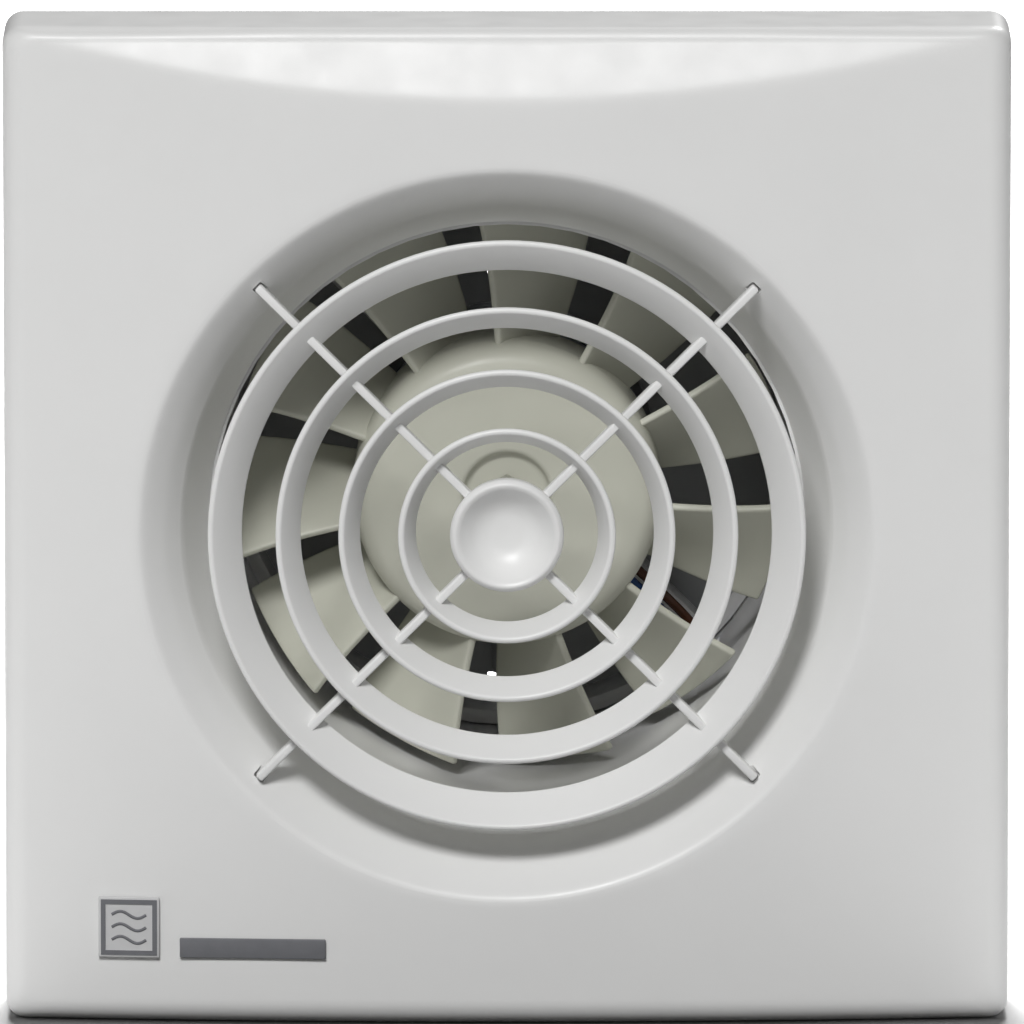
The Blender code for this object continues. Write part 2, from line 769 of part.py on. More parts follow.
def motor_shaft(look, axle):
    back = REAR_BEARING + BEARING_WIDTH
    profile = [
        (0.0, SHAFT_FRONT),
        (SHAFT_R - 0.4, SHAFT_FRONT),
        (SHAFT_R, SHAFT_FRONT + 0.4),
        (SHAFT_R, back),
        (0.0, back),
    ]
    return add_piece("motor_shaft", turned(profile, 20), look, axle)


def rotor(look, axle):
    start, end = CORE_FRONT + 0.7, CORE_BACK - 0.7
    return add_piece("rotor", tube(SHAFT_R + GAP, ROTOR_R, start, end, 28), look, axle)


def bearing(name, front, race_look, axle):
    """A shielded ball bearing: an outer race with its shields, and an inner race on the shaft."""
    back = front + BEARING_WIDTH
    outer = turned(
        [
            (BEARING_R, front),
            (BEARING_R, back),
            (2.95, back),
            (2.95, back - 0.5),
            (4.0, back - 0.5),
            (4.0, front + 0.5),
            (2.95, front + 0.5),
            (2.95, front),
        ],
        20,
    )
    add_piece(f"{name}_bearing_outer_race", outer, race_look)
    inner = tube(SHAFT_R + GAP, 2.6, front, back, 16)
    add_piece(f"{name}_bearing_inner_race", inner, race_look, axle)


def bolt_places():
    """(x, z) of the two through bolts, at the left and right of the motor."""
    return [(-BOLT_CIRCLE_R, 0.0), (BOLT_CIRCLE_R, 0.0)]


def bolt_holes(start, end):
    return together(*[cylinder(BOLT_R + GAP, start, end, 12, place) for place in bolt_places()])


def motor_front_shield(look):
    seat = BEARING_R + GAP
    inner = MOTOR_R - SHIELD_WALL
    wall = MOTOR_FRONT + SHIELD_WALL
    back = MOTOR_FRONT + SHIELD_DEPTH
    profile = [
        (MOTOR_R, back),
        (MOTOR_R, MOTOR_FRONT + 1.0),
        (MOTOR_R - 1.0, MOTOR_FRONT),
        (BOSS_R, MOTOR_FRONT),
        (BOSS_R, FRONT_BEARING - 1.7),
        (SHAFT_R + 0.8, FRONT_BEARING - 1.7),
        (SHAFT_R + 0.8, FRONT_BEARING - GAP),
        (seat, FRONT_BEARING - GAP),
        (seat, wall),
        (inner, wall),
        (inner, back),
    ]
    shield = add_piece("motor_front_shield", turned(profile), look)
    bosses = [
        cylinder(BOLT_R + BOLT_BOSS, wall - 0.5, back, 12, (x * BOSS_IN, z)) for x, z in bolt_places()
    ]
    fuse(shield, together(*bosses))
    cut(shield, bolt_holes(wall - 0.8, back + 1))
    return shield


def motor_rear_shield(look):
    seat = BEARING_R + GAP
    inner = MOTOR_R - SHIELD_WALL
    front = REAR_SHIELD_FRONT
    wall = MOTOR_BACK - SHIELD_WALL
    end = REAR_BEARING + BEARING_WIDTH + GAP
    profile = [
        (0.0, end + 1.6),
        (BOSS_R - 0.8, end + 1.6),
        (BOSS_R, end + 0.8),
        (BOSS_R, MOTOR_BACK),
        (MOTOR_R - 1.0, MOTOR_BACK),
        (MOTOR_R, MOTOR_BACK - 1.0),
        (MOTOR_R, front),
        (inner, front),
        (inner, wall),
        (seat, wall),
        (seat, end),
        (0.0, end),
    ]
    shield = add_piece("motor_rear_shield", turned(profile), look)
    bosses = [
        cylinder(BOLT_R + BOLT_BOSS, front, wall + 0.5, 12, (x * BOSS_IN, z)) for x, z in bolt_places()
    ]
    fuse(shield, together(*bosses))
    cut(shield, bolt_holes(front - 1, MOTOR_BACK + 1))
    holes = [
        cylinder(SCREW_R + GAP, MOTOR_BACK - 1.4, MOTOR_BACK + 1, 12, place) for place in damper_places()
    ]
    cut(shield, together(*holes))
    return shield


def stator_core(look):
    """Laminated ring with four inward poles."""
    outer, inner = [], []
    pole_edge = POLE_SPAN / 2
    slot_span = 90 - POLE_SPAN
    for pole in range(4):
        middle = 90 * pole
        for step in range(7):
            turn = middle + pole_edge * (step / 3 - 1)
            inner.append((turn, POLE_R))
            outer.append((turn, MOTOR_R))
        inner.append((middle + pole_edge, SLOT_R))
        outer.append((middle + pole_edge + 0.8, MOTOR_R))
        for step in range(1, 6):
            turn = middle + pole_edge + slot_span * step / 6
            inner.append((turn, SLOT_R))
            outer.append((turn, MOTOR_R))
        inner.append((middle + 90 - pole_edge, SLOT_R))
        outer.append((middle + 90 - pole_edge - 0.8, MOTOR_R))
    rings = []
    for places, y in (
        (outer, CORE_FRONT),
        (outer, CORE_BACK),
        (inner, CORE_BACK),
        (inner, CORE_FRONT),
    ):
        turns = [(math.radians(degrees), radius) for degrees, radius in places]
        rings.append([Vector((r * math.sin(turn), y, r * math.cos(turn))) for turn, r in turns])
    core = add_piece("stator_core", skin(rings), look)
    cut(core, bolt_holes(CORE_FRONT - 1, CORE_BACK + 1))
    return core


def stator_coil(index, look):
    """A wound ring round one pole, with round corners."""
    front = CORE_FRONT - GAP
    back = CORE_BACK + GAP
    wall = COIL_WALL
    half = COIL_HALF
    outer = rounded_rectangle(-half, half, front - wall, back + wall, 2.0, 2)
    inner = rounded_rectangle(wall - half, half - wall, front, back, 0.5, 2)
    rings = [
        [Vector((x, y, COIL_OUTER_Z)) for x, y in outer],
        [Vector((x, y, COIL_INNER_Z)) for x, y in outer],
        [Vector((x, y, COIL_INNER_Z)) for x, y in inner],
        [Vector((x, y, COIL_OUTER_Z)) for x, y in inner],
    ]
    coil = turn_about_duct(skin(rings), 90 * index)
    return add_piece(f"stator_coil_{index + 1}", coil, look)


def pan_screw(radius, head_radius, head, tip, head_height, centre, towards=1):
    """A pan-head screw whose head sits at head and whose tip is at tip, on a line along Y."""
    outer = head - towards * head_height
    profile = [
        (0.0, outer),
        (head_radius * 0.7, outer),
        (head_radius, outer + towards * head_height * 0.4),
        (head_radius, head),
        (radius, head),
        (radius, tip - towards * 0.5),
        (radius * 0.5, tip),
        (0.0, tip),
    ]
    return turned(profile, 10, centre)


def motor_bolt(index, look):
    head = MOTOR_BACK + GAP
    tip = MOTOR_FRONT + SHIELD_WALL
    bolt = pan_screw(BOLT_R, BOLT_R + 1.0, head, tip, 1.2, bolt_places()[index], towards=-1)
    return add_piece(f"motor_bolt_{index + 1}", bolt, look)


# ------------------------------------------------- motor support and its pads


def damper_places():
    """(x, z) of the four rubber blocks, on the support's diagonals."""
    reach = DAMPER_CIRCLE_R * DIAGONAL
    return [(reach * a, reach * b) for a, b in ((1, 1), (1, -1), (-1, -1), (-1, 1))]


def motor_support(look):
    """A ring that seats in the spigot, four arms and a plate behind the motor, moulded in one."""
    plate_back = SUPPORT_PLATE_FRONT + SUPPORT_PLATE_THICK
    ring = tube(RING_R - RING_WALL, RING_R, RING_FRONT, RING_BACK, 56)
    support = add_piece("motor_support", ring, look)
    bumps, arms = [], []
    for quarter in range(4):
        bump = box((-4.1, RING_FRONT + 6.0, RING_R - 0.8), (4.1, RING_FRONT + 9.1, TUBE_R + 1.8))
        bumps.append(turn_about_duct(bump, 45 + 90 * quarter))
        arm = box(
            (-ARM_WIDTH / 2, RING_FRONT + 1.0, SUPPORT_PLATE_R - 1.0),
            (ARM_WIDTH / 2, RING_FRONT + 1.0 + ARM_LENGTH, RING_R - RING_WALL / 2),
        )
        arms.append(turn_about_duct(arm, 45 + 90 * quarter))
    lugs = [
        box((-LUG_HALF, RING_BACK - 3.0, LUG_INNER_Z), (LUG_HALF, ROD_Y + 2.3, RING_R - 1.0)),
        box((-LUG_HALF, RING_BACK - 3.0, -RING_R + 1.0), (LUG_HALF, ROD_Y + 2.3, -LUG_INNER_Z)),
    ]
    plate = tube(BOSS_R + 1.2, SUPPORT_PLATE_R, SUPPORT_PLATE_FRONT, plate_back, 28)
    fuse(support, together(plate, *lugs, *bumps))
    fuse(support, together(*arms))
    holes = [
        cylinder(SCREW_R + GAP, SUPPORT_PLATE_FRONT - 1, plate_back + 1, 12, place)
        for place in damper_places()
    ]
    rod_hole = cylinder(ROD_R + GAP, -RING_R + 0.8, RING_R - 0.8, 16, (0.0, ROD_Y), "Z")
    cut(support, together(*holes, rod_hole))
    return support


def rubber_damper(index, look):
    start = MOTOR_BACK + GAP
    centre = damper_places()[index]
    block = turned(
        [
            (DAMPER_R, start),
            (DAMPER_R - 0.7, start + DAMPER_LENGTH / 2),
            (DAMPER_R, start + DAMPER_LENGTH),
            (SCREW_R + GAP, start + DAMPER_LENGTH),
            (SCREW_R + GAP, start),
        ],
        14,
        centre,
    )
    return add_piece(f"rubber_damper_{index + 1}", block, look)


def support_screw(index, look):
    head = SUPPORT_PLATE_FRONT + SUPPORT_PLATE_THICK + GAP
    tip = MOTOR_BACK - 1.1
    screw = pan_screw(SCREW_R, 2.9, head, tip, 1.6, damper_places()[index], towards=-1)
    return add_piece(f"support_screw_{index + 1}", screw, look)


# --------------------------------------------------------------- back shutter


def knuckle_spans(side):
    """Stretches of the rod that one flap's hinge barrels take, mirrored end for end on the other flap."""
    spans = ((26.0, 40.0), (-25.4, -12.8))
    return [tuple(sorted((side * a, side * b))) for a, b in spans]


def leg_notch_span(side):
    """The stretch of a flap's edge that the other flap's spring leg crosses when both stand open."""
    near, far = -side * (SPRING_HIGH - 0.8), -side * (SPRING_HIGH + 1.8)
    return min(near, far), max(near, far)


def flap(name, side, look, hinge):
    """A half-moon flap with two hinge barrels. side is 1 for the right flap and -1 for the left."""
    edge = FLAP_EDGE_X
    tongue = KNUCKLE_R - 0.55
    outline = [(NOTCH_HALF, -LUG_INNER_Z + 0.6), (edge, -LUG_INNER_Z + 0.6)]
    steps_in_edge = [(low, high, tongue) for low, high in knuckle_spans(side)]
    steps_in_edge.append((*leg_notch_span(side), LEG_NOTCH))
    for low, high, reach in sorted(steps_in_edge):
        outline += [(edge, low), (reach, low), (reach, high), (edge, high)]
    outline += [(edge, LUG_INNER_Z - 0.6), (NOTCH_HALF, LUG_INNER_Z - 0.6)]
    start = math.asin(NOTCH_HALF / FLAP_R)
    steps = 22
    for i in range(steps + 1):
        turn = start + (math.pi - 2 * start) * i / steps
        outline.append((FLAP_R * math.sin(turn), FLAP_R * math.cos(turn)))
    half = FLAP_THICK / 2
    plate = prism([(side * x, z) for x, z in outline], ROD_Y - half, ROD_Y + half)
    made = add_piece(name, plate, look, hinge)
    barrels = [
        tube(ROD_R + GAP, KNUCKLE_R, low, high, 18, (0.0, ROD_Y), "Z")
        for low, high in knuckle_spans(side)
    ]
    fuse(made, together(*barrels))
    return made


def shutter_rod(look):
    reach = RING_R - 1.2
    return add_piece("shutter_rod", cylinder(ROD_R, -reach, reach, 16, (0.0, ROD_Y), "Z"), look)


def wire(name, points, radius, look, parent=None, sides=2):
    """Round wire through a list of points, with closed ends."""
    data = bpy.data.curves.new(name, "CURVE")
    data.dimensions = "3D"
    data.bevel_depth = radius * METRES
    data.bevel_resolution = sides
    data.use_fill_caps = True
    data.materials.append(look)
    place = parent.location if parent else Vector()
    spline = data.splines.new("POLY")
    spline.points.add(len(points) - 1)
    for point, where in zip(spline.points, points):
        point.co = (*(Vector(where) * METRES - place), 1.0)
    made = bpy.data.objects.new(name, data)
    bpy.context.scene.collection.objects.link(made)
    made.parent = parent
    return made


def shutter_spring(name, side, look, hinge):
    """A torsion spring wound on the rod, whose leg lies on its flap's back."""
    turns, per_turn = 3, 10
    radius = ROD_R + 1.0
    low, high = SPRING_LOW, SPRING_HIGH
    points = []
    for i in range(turns * per_turn + 1):
        turn = math.tau * i / per_turn
        height = low + (high - low) * i / (turns * per_turn)
        x, y = radius * math.sin(turn), ROD_Y + radius * math.cos(turn)
        points.append((side * x, y, side * height))
    back = ROD_Y + FLAP_THICK / 2 + 0.6
    points.append((side * 2.6, ROD_Y + radius - 0.2, side * (high + 0.1)))
    points.append((side * 6.0, back + 0.4, side * (high + 0.3)))
    points.append((side * 16.0, back, side * (high + 1.0)))
    return wire(name, points, 0.25, look, hinge, 1)


# --------------------------------------------------------------- wiring corner


def terminal_box():
    wide, high, deep = TERMINAL_SIZE
    back = PLATE_FRONT - GAP
    low = (TERMINAL_X - wide / 2, back - deep, TERMINAL_Z - high / 2)
    return low, (TERMINAL_X + wide / 2, back, TERMINAL_Z + high / 2)


def terminal_screw_places():
    return [(TERMINAL_X + side * TERMINAL_PITCH / 2, TERMINAL_Z) for side in (-1, 1)]


def terminal_block(look):
    low, high = terminal_box()
    block = add_piece("terminal_block", box(low, high), look)
    wells, entries = [], []
    for x, z in terminal_screw_places():
        wells.append(cylinder(2.3, low[1] - 1, low[1] + 5.0, 14, (x, z)))
        entries.append(cylinder(1.6, -high[2] - 1, -high[2] + 3.0, 10, (x, low[1] + 8.0), "Z"))
    cut(block, together(*wells, *entries))
    return block


def terminal_screw(index, look):
    low, _ = terminal_box()
    centre = terminal_screw_places()[index]
    body = cylinder(1.9, low[1] + 1.2, low[1] + 4.6, 14, centre)
    screw = add_piece(f"terminal_screw_{index + 1}", body, look)
    x, z = centre
    cut(screw, box((x - 3, low[1], z - 0.3), (x + 3, low[1] + 2.0, z + 0.3)))
    return screw


def terminal_cover(look):
    """A clip-on lid over the terminals, open at its back, with a mouth for the leads and the cable."""
    low, high = terminal_box()
    wall = 1.2
    room = 1.0
    outer_low = (low[0] - room - wall, low[1] - room - wall, low[2] - room - wall)
    outer_high = (high[0] + room + wall, PLATE_FRONT - GAP, high[2] + room + wall)
    lid = add_piece("terminal_cover", box(outer_low, outer_high), look)
    inner_low = (low[0] - room, low[1] - room, low[2] - room)
    inner_high = (high[0] + room, outer_high[1] + 1, high[2] + room)
    cut(lid, box(inner_low, inner_high))
    mouth = box(
        (low[0] - room - wall - 1, low[1] + 3.0, TERMINAL_Z - 3.4),
        (low[0] - room + 0.5, outer_high[1] + 1, TERMINAL_Z + 3.4),
    )
    cable = box(
        (TERMINAL_X + 0.4, low[1] + 3.0, high[2] + room - 0.5),
        (TERMINAL_X + 8.4, outer_high[1] + 1, high[2] + room + wall + 1),
    )
    cut(lid, together(mouth, cable))
    return lid


def cable_clamp(look):
    """A saddle with a round hollow over the cable's place."""
    back = CLAMP_BACK
    reach = CLAMP_REACH + 3.0
    half = 3.2
    low = (CABLE_X - reach, back - CLAMP_THICK, CLAMP_Z - half)
    bar = box(low, (CABLE_X + reach, back, CLAMP_Z + half))
    saddle = add_piece("cable_clamp", bar, look)
    hollow = cylinder(3.4, CLAMP_Z - 5, CLAMP_Z + 5, 20, (CABLE_X, back + 0.9), "Z")
    holes = [
        cylinder(SCREW_R + GAP, back - CLAMP_THICK - 1, back + 1, 12, place)
        for place in clamp_screw_places()
    ]
    cut(saddle, hollow)
    cut(saddle, together(*holes))
    return saddle


def clamp_screw(index, look):
    head = CLAMP_BACK - CLAMP_THICK - GAP
    screw = pan_screw(SCREW_R, 2.7, head, PLATE_BACK - 0.9, 1.7, clamp_screw_places()[index])
    return add_piece(f"clamp_screw_{index + 1}", screw, look)


def cable_grommet(look):
    outer = CABLE_HOLE_R - GAP
    profile = [
        (GROMMET_BORE_R, PLATE_FRONT - 2.6),
        (outer + 1.4, PLATE_FRONT - 2.6),
        (outer + 2.2, PLATE_FRONT - 1.8),
        (outer + 2.2, PLATE_FRONT - GAP),
        (outer, PLATE_FRONT - GAP),
        (outer, PLATE_BACK),
        (GROMMET_BORE_R, PLATE_BACK),
    ]
    return add_piece("cable_grommet", turned(profile, 20, (CABLE_X, CABLE_Z)), look)


def smooth_route(stops, per_stretch=3):
    """Points on a smooth curve through the stops."""
    padded = [stops[0]] + stops + [stops[-1]]
    points = []
    for k in range(len(stops) - 1):
        a, b, c, d = (Vector(p) for p in padded[k : k + 4])
        for i in range(per_stretch):
            t = i / per_stretch
            second = 2 * a - 5 * b + 4 * c - d
            third = 3 * b - a - 3 * c + d
            points.append(b + (c - a) * t / 2 + second * t**2 / 2 + third * t**3 / 2)
    points.append(Vector(stops[-1]))
    return points


def motor_lead(name, side, look):
    """From the motor's side out through the spigot's window, forward in its groove, then to the terminals."""
    aside = side * LEAD_PITCH / 2
    in_groove = SPIGOT_R - GROOVE_DEPTH / 2 + 0.05
    stops = []
    for radius, y in (
        (MOTOR_R + GAP + 0.1, MOTOR_BACK - 3.0),
        (MOTOR_R + 4.0, MOTOR_BACK - 2.6),
        (TUBE_R - 8.5, MOTOR_BACK - 1.7),
        (TUBE_R - 3.5, MOTOR_BACK - 4.9),
        (TUBE_R - 0.3, MOTOR_BACK - 9.3),
        (in_groove, MOTOR_BACK - 16.3),
        (in_groove, MOTOR_BACK * 0.5),
        (in_groove, MOTOR_BACK * 0.15),
        (in_groove, PLATE_BACK + 1.0),
        (in_groove + 0.9, PLATE_FRONT - 0.6),
        (in_groove + 3.6, PLATE_FRONT - 1.5),
        (in_groove + 7.0, PLATE_FRONT - 2.4),
    ):
        along, across = Vector((DIAGONAL, 0, -DIAGONAL)), Vector((DIAGONAL, 0, DIAGONAL))
        stops.append(along * radius + across * aside + Vector((0, y, 0)))
    low, _ = terminal_box()
    end_z = TERMINAL_Z + side * 1.6
    stops.append(Vector((low[0] - 5.0 + side * 0.9, PLATE_FRONT - 5.0, end_z + 1.5)))
    stops.append(Vector((low[0] - GAP, PLATE_FRONT - 5.0, end_z)))
    return wire(name, smooth_route(stops), LEAD_R, look)


# ------------------------------------------------------------------- assembly


def build():
    clear_scene()
    white = surface("white_abs", (0.82, 0.82, 0.82), 0.30)
    grey_print = surface("grey_print", (0.18, 0.18, 0.19), 0.45)
    cream = surface("cream_plastic", (0.60, 0.60, 0.54), 0.40)
    black = surface("black_plastic", (0.03, 0.03, 0.03), 0.45)
    grey = surface("grey_plastic", (0.45, 0.45, 0.45), 0.45)
    rubber = surface("rubber", (0.04, 0.04, 0.04), 0.80)
    zinc = surface("zinc_steel", (0.62, 0.62, 0.60), 0.32, 1.0)
    steel = surface("ground_steel", (0.70, 0.70, 0.70), 0.22, 1.0)
    laminate = surface("laminations", (0.30, 0.30, 0.31), 0.50, 1.0)
    copper = surface("copper_wire", (0.72, 0.33, 0.15), 0.35, 1.0)
    cast = surface("die_cast_aluminium", (0.66, 0.67, 0.68), 0.42, 1.0)
    brass = surface("brass", (0.75, 0.60, 0.30), 0.30, 1.0)
    brown = surface("brown_lead", (0.16, 0.07, 0.03), 0.50)
    blue = surface("blue_lead", (0.03, 0.12, 0.40), 0.50)

    axle = pivot("impeller_axis", 0, BLADE_FRONT, 0)
    left_hinge = pivot("left_flap_axis", 0, ROD_Y, 0)
    right_hinge = pivot("right_flap_axis", 0, ROD_Y, 0)

    front_cover(white)
    inlet_grille(white)
    badge(grey_print)
    name_bar(grey_print)
    base_housing(white)
    impeller(cream, axle)
    impeller_nut(zinc, axle)
    motor_shaft(steel, axle)
    rotor(laminate, axle)
    bearing("front", FRONT_BEARING, steel, axle)
    bearing("rear", REAR_BEARING, steel, axle)
    motor_front_shield(cast)
    motor_rear_shield(cast)
    stator_core(laminate)
    for index in range(4):
        stator_coil(index, copper)
        rubber_damper(index, rubber)
        support_screw(index, zinc)
    for index in range(2):
        motor_bolt(index, zinc)
        terminal_screw(index, brass)
        clamp_screw(index, zinc)
    motor_support(white)
    shutter_rod(steel)
    flap("left_flap", -1, grey, left_hinge)
    flap("right_flap", 1, grey, right_hinge)
    shutter_spring("left_flap_spring", -1, steel, left_hinge)
    shutter_spring("right_flap_spring", 1, steel, right_hinge)
    terminal_block(black)
    terminal_cover(white)
    cable_clamp(white)
    cable_grommet(rubber)
    motor_lead("motor_lead_live", 1, brown)
    motor_lead("motor_lead_neutral", -1, blue)


build()
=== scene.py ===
"""Finished surfaces, materials, floor, lights and camera for the square-fronted extractor fan.

Sizes are in millimetres until a piece is made. The duct axis is Y and +Y runs into the wall, so the front
of the fan faces -Y.
"""

import math

import bmesh
import bpy
from mathutils import Matrix, Vector


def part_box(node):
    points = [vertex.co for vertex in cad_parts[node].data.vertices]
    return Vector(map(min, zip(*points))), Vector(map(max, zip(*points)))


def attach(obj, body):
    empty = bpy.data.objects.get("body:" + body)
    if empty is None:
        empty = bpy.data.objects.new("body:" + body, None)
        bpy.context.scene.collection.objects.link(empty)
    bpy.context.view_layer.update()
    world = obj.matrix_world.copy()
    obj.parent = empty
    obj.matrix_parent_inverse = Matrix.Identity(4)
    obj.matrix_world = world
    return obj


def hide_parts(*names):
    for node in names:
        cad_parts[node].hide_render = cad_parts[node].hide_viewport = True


MM = 0.001
SMOOTH_ANGLE = 35  # degrees: faces that meet at less than this are smoothed together

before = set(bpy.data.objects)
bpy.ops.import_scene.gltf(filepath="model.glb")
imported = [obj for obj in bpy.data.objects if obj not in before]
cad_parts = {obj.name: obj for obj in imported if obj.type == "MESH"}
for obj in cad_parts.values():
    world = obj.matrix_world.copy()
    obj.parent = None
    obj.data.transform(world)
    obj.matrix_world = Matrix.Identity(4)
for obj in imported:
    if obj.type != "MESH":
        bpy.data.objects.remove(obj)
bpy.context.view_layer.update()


def span(node):
    """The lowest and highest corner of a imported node, in millimetres."""
    low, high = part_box(node)
    return low / MM, high / MM


cover_low, cover_high = span("front_cover")
grille_low = span("inlet_grille")[0]
wheel_low = span("impeller")[0]

# Front cover
COVER_HALF = cover_high.x
COVER_TOP = cover_high.z
COVER_BOTTOM = cover_low.z
COVER_BACK = cover_high.y
COVER_SIDE_DEPTH = 20.0
COVER_BULGE = 5.0
COVER_WALL = 2.2
COVER_CORNER = 3.0
EDGE_ROUND = 4.0
TOP_EDGE_ROUND = 2.0
CREASE_DROP = 10.8
CREASE_SOFT = 0.45
LIP_OUTER_R = 58.4
LIP_INNER_R = 51.2
LIP_WIDTH = LIP_OUTER_R - LIP_INNER_R
LIP_DEPTH = 9.0
LIP_CURVE = ((0.0, 0.0), (0.14, 0.05), (0.36, 0.24), (0.68, 0.57), (1.0, 1.0))
THROAT_R = 47.0
THROAT_BACK = -5.5
CLIP_X = (73.5, 75.3)
CLIP_Z = (COVER_BOTTOM + 34.0, COVER_TOP - 34.0)
CLIP_WIDTH = 8.0
CLIP_BACK = -3.2
# How far in from the edge each ring of the cover's skin lies, and how far above or below the crease
RING_STEP = 0.35
CREASE_STEPS = (8.0, 5.0, 3.2, 2.0, 1.2, 0.6, 0.0, -0.6, -1.2, -2.0, -3.2)
# Shares of the way from the crease to the lip
FACE_SHARES = (0.08, 0.2, 0.34, 0.5, 0.66, 0.8, 0.92, 1.0)

# Grille
GRILLE_FRONT = grille_low.y
GRILLE_DEPTH = 5.3
GRILLE_BACK = GRILLE_FRONT + GRILLE_DEPTH
LOUVRE_R = (47.6, 36.9, 27.0, 17.6)
LOUVRE_LEAN = (6.0, 4.4, 3.8, 3.1)
LOUVRE_FRONT = GRILLE_FRONT + 0.2
LOUVRE_FRONT_THICK = 1.1
LOUVRE_BACK_THICK = 1.2
HUB_DISH_R = 9.0
SPOKE_WIDTH = 1.3
SPOKE_TIP_R = 55.2
SPOKE_FRONT = GRILLE_FRONT + 2.4
SPOKE_BACK = GRILLE_BACK
SPOKE_FIT = 0.3
POCKET_FRONT = SPOKE_FRONT - 3.8

# Badge and name bar
BADGE_THICK = 0.7
BADGE_RIM_OUTER = 0.25
BADGE_RIM_WIDTH = 0.75
BADGE_RIM_RISE = 0.14
BADGE_FIELD = 0.15
WAVE_HEIGHTS = (-2.0, 0.0, 2.0)
WAVE_RISE = 0.55
WAVE_R = 0.24
WAVE_FLATTEN = 0.45
WAVE_MARGIN = 2.1
WAVE_DEPTH = 0.12
NAME_BAR_THICK = 0.42

# Impeller
BLADES = 11
BLADE_TIP_R = 44.5
BLADE_FRONT = 16.0
BLADE_DEPTH = 14.0
BLADE_WRAP = 23.2
BLADE_START = 29.0
BLADE_SWEEP = 2.0
BLADE_THICK = 1.2
BLADE_INSET = 0.3
BLADE_CAMBER = 0.10
HUB_R = 24.5
HUB_WALL = 2.2
HUB_FRONT = wheel_low.y
HUB_BACK = 31.5
SLEEVE_R = 5.0
SLEEVE_BACK = 27.5
SHAFT_BORE_R = 1.8


# ------------------------------------------------------------------ modelling


def start_editing(piece):
    """Go into edit mode on one piece and give its edit mesh."""
    bpy.context.view_layer.objects.active = piece
    piece.select_set(True)
    bpy.ops.object.mode_set(mode="EDIT")
    return bmesh.from_edit_mesh(piece.data)


def close_up(piece, angle=SMOOTH_ANGLE):
    """Merge seams and poles, turn every face outwards and smooth what isn't a real edge."""
    bpy.ops.mesh.select_all(action="SELECT")
    bpy.ops.mesh.remove_doubles(threshold=2e-6)
    bpy.ops.mesh.delete_loose(use_verts=True, use_edges=True, use_faces=False)
    bpy.ops.mesh.select_all(action="SELECT")
    bpy.ops.mesh.normals_make_consistent(inside=False)
    bpy.ops.object.mode_set(mode="OBJECT")
    bpy.ops.object.shade_smooth_by_angle(angle=math.radians(angle))
    return piece


def outline_start(name, places):
    """A circle's edge with a corner on each place, ready to be extruded or spun."""
    bpy.ops.object.select_all(action="DESELECT")
    bpy.ops.mesh.primitive_circle_add(vertices=len(places), fill_type="NOTHING")
    piece = bpy.context.object
    piece.name = name
    mesh = start_editing(piece)
    station = mesh.verts.layers.int.new("station")
    mesh.verts.ensure_lookup_table()
    for index, vert in enumerate(mesh.verts):
        vert[station] = index
        vert.co = Vector(places[index]) * MM
    bmesh.update_edit_mesh(piece.data)
    return piece


def loft(name, rings):
    """Extrude an edge loop from ring to ring and back to the first, as a closed skin."""
    piece = outline_start(name, rings[0])
    for ring in rings[1:] + rings[:1]:
        bpy.ops.mesh.extrude_region_move()
        mesh = bmesh.from_edit_mesh(piece.data)
        station = mesh.verts.layers.int["station"]
        for vert in mesh.verts:
            if vert.select:
                vert.co = ring[vert[station]] * MM
    return close_up(piece)


def lathe(name, profile, steps, angle):
    """Spin an outline of (radius, place along Y) points about the duct axis."""
    piece = outline_start(name, [(radius, along, 0.0) for radius, along in profile])
    bpy.ops.mesh.select_all(action="SELECT")
    bpy.ops.mesh.spin(steps=steps, angle=math.tau, center=(0, 0, 0), axis=(0, 1, 0))
    return close_up(piece, angle)


def bar(name, low, high, round_off, segments=3):
    """A block with rounded edges."""
    low, high = Vector(low) * MM, Vector(high) * MM
    bpy.ops.object.select_all(action="DESELECT")
    bpy.ops.mesh.primitive_cube_add(size=1, location=(low + high) / 2, scale=high - low)
    bpy.ops.object.transform_apply(location=True, rotation=True, scale=True)
    piece = bpy.context.object
    piece.name = name
    start_editing(piece)
    bpy.ops.mesh.select_all(action="SELECT")
    bpy.ops.mesh.bevel(offset=round_off * MM, segments=segments, affect="EDGES")
    return close_up(piece)


def copies_about_duct(piece, turns):
    """The piece and its copies, turned about the duct axis, each with its own mesh."""
    made = []
    for turn in turns:
        copy = bpy.data.objects.new(piece.name, piece.data.copy())
        bpy.context.scene.collection.objects.link(copy)
        copy.data.transform(Matrix.Rotation(math.radians(turn), 4, "Y"))
        made.append(copy)
    bpy.data.objects.remove(piece)
    return made


def merged(pieces):
    """Several pieces as one object."""
    bpy.ops.object.select_all(action="DESELECT")
    for piece in pieces:
        piece.select_set(True)
    bpy.context.view_layer.objects.active = pieces[0]
    if len(pieces) > 1:
        bpy.ops.object.join()
    return pieces[0]


def apply_modifier(piece, kind, **settings):
    """Add a modifier and apply it at once."""
    step = piece.modifiers.new(kind, kind)
    for setting, value in settings.items():
        setattr(step, setting, value)
    bpy.ops.object.select_all(action="DESELECT")
    piece.select_set(True)
    bpy.context.view_layer.objects.active = piece
    bpy.ops.object.modifier_apply(modifier=step.name)


def combine(piece, tools, operation):
    """Join tools to a piece or cut them out of it."""
    tool = merged(tools)
    apply_modifier(piece, "BOOLEAN", operation=operation, solver="EXACT", object=tool)
    bpy.data.objects.remove(tool)
    bpy.ops.object.shade_smooth_by_angle(angle=math.radians(SMOOTH_ANGLE))
    return piece


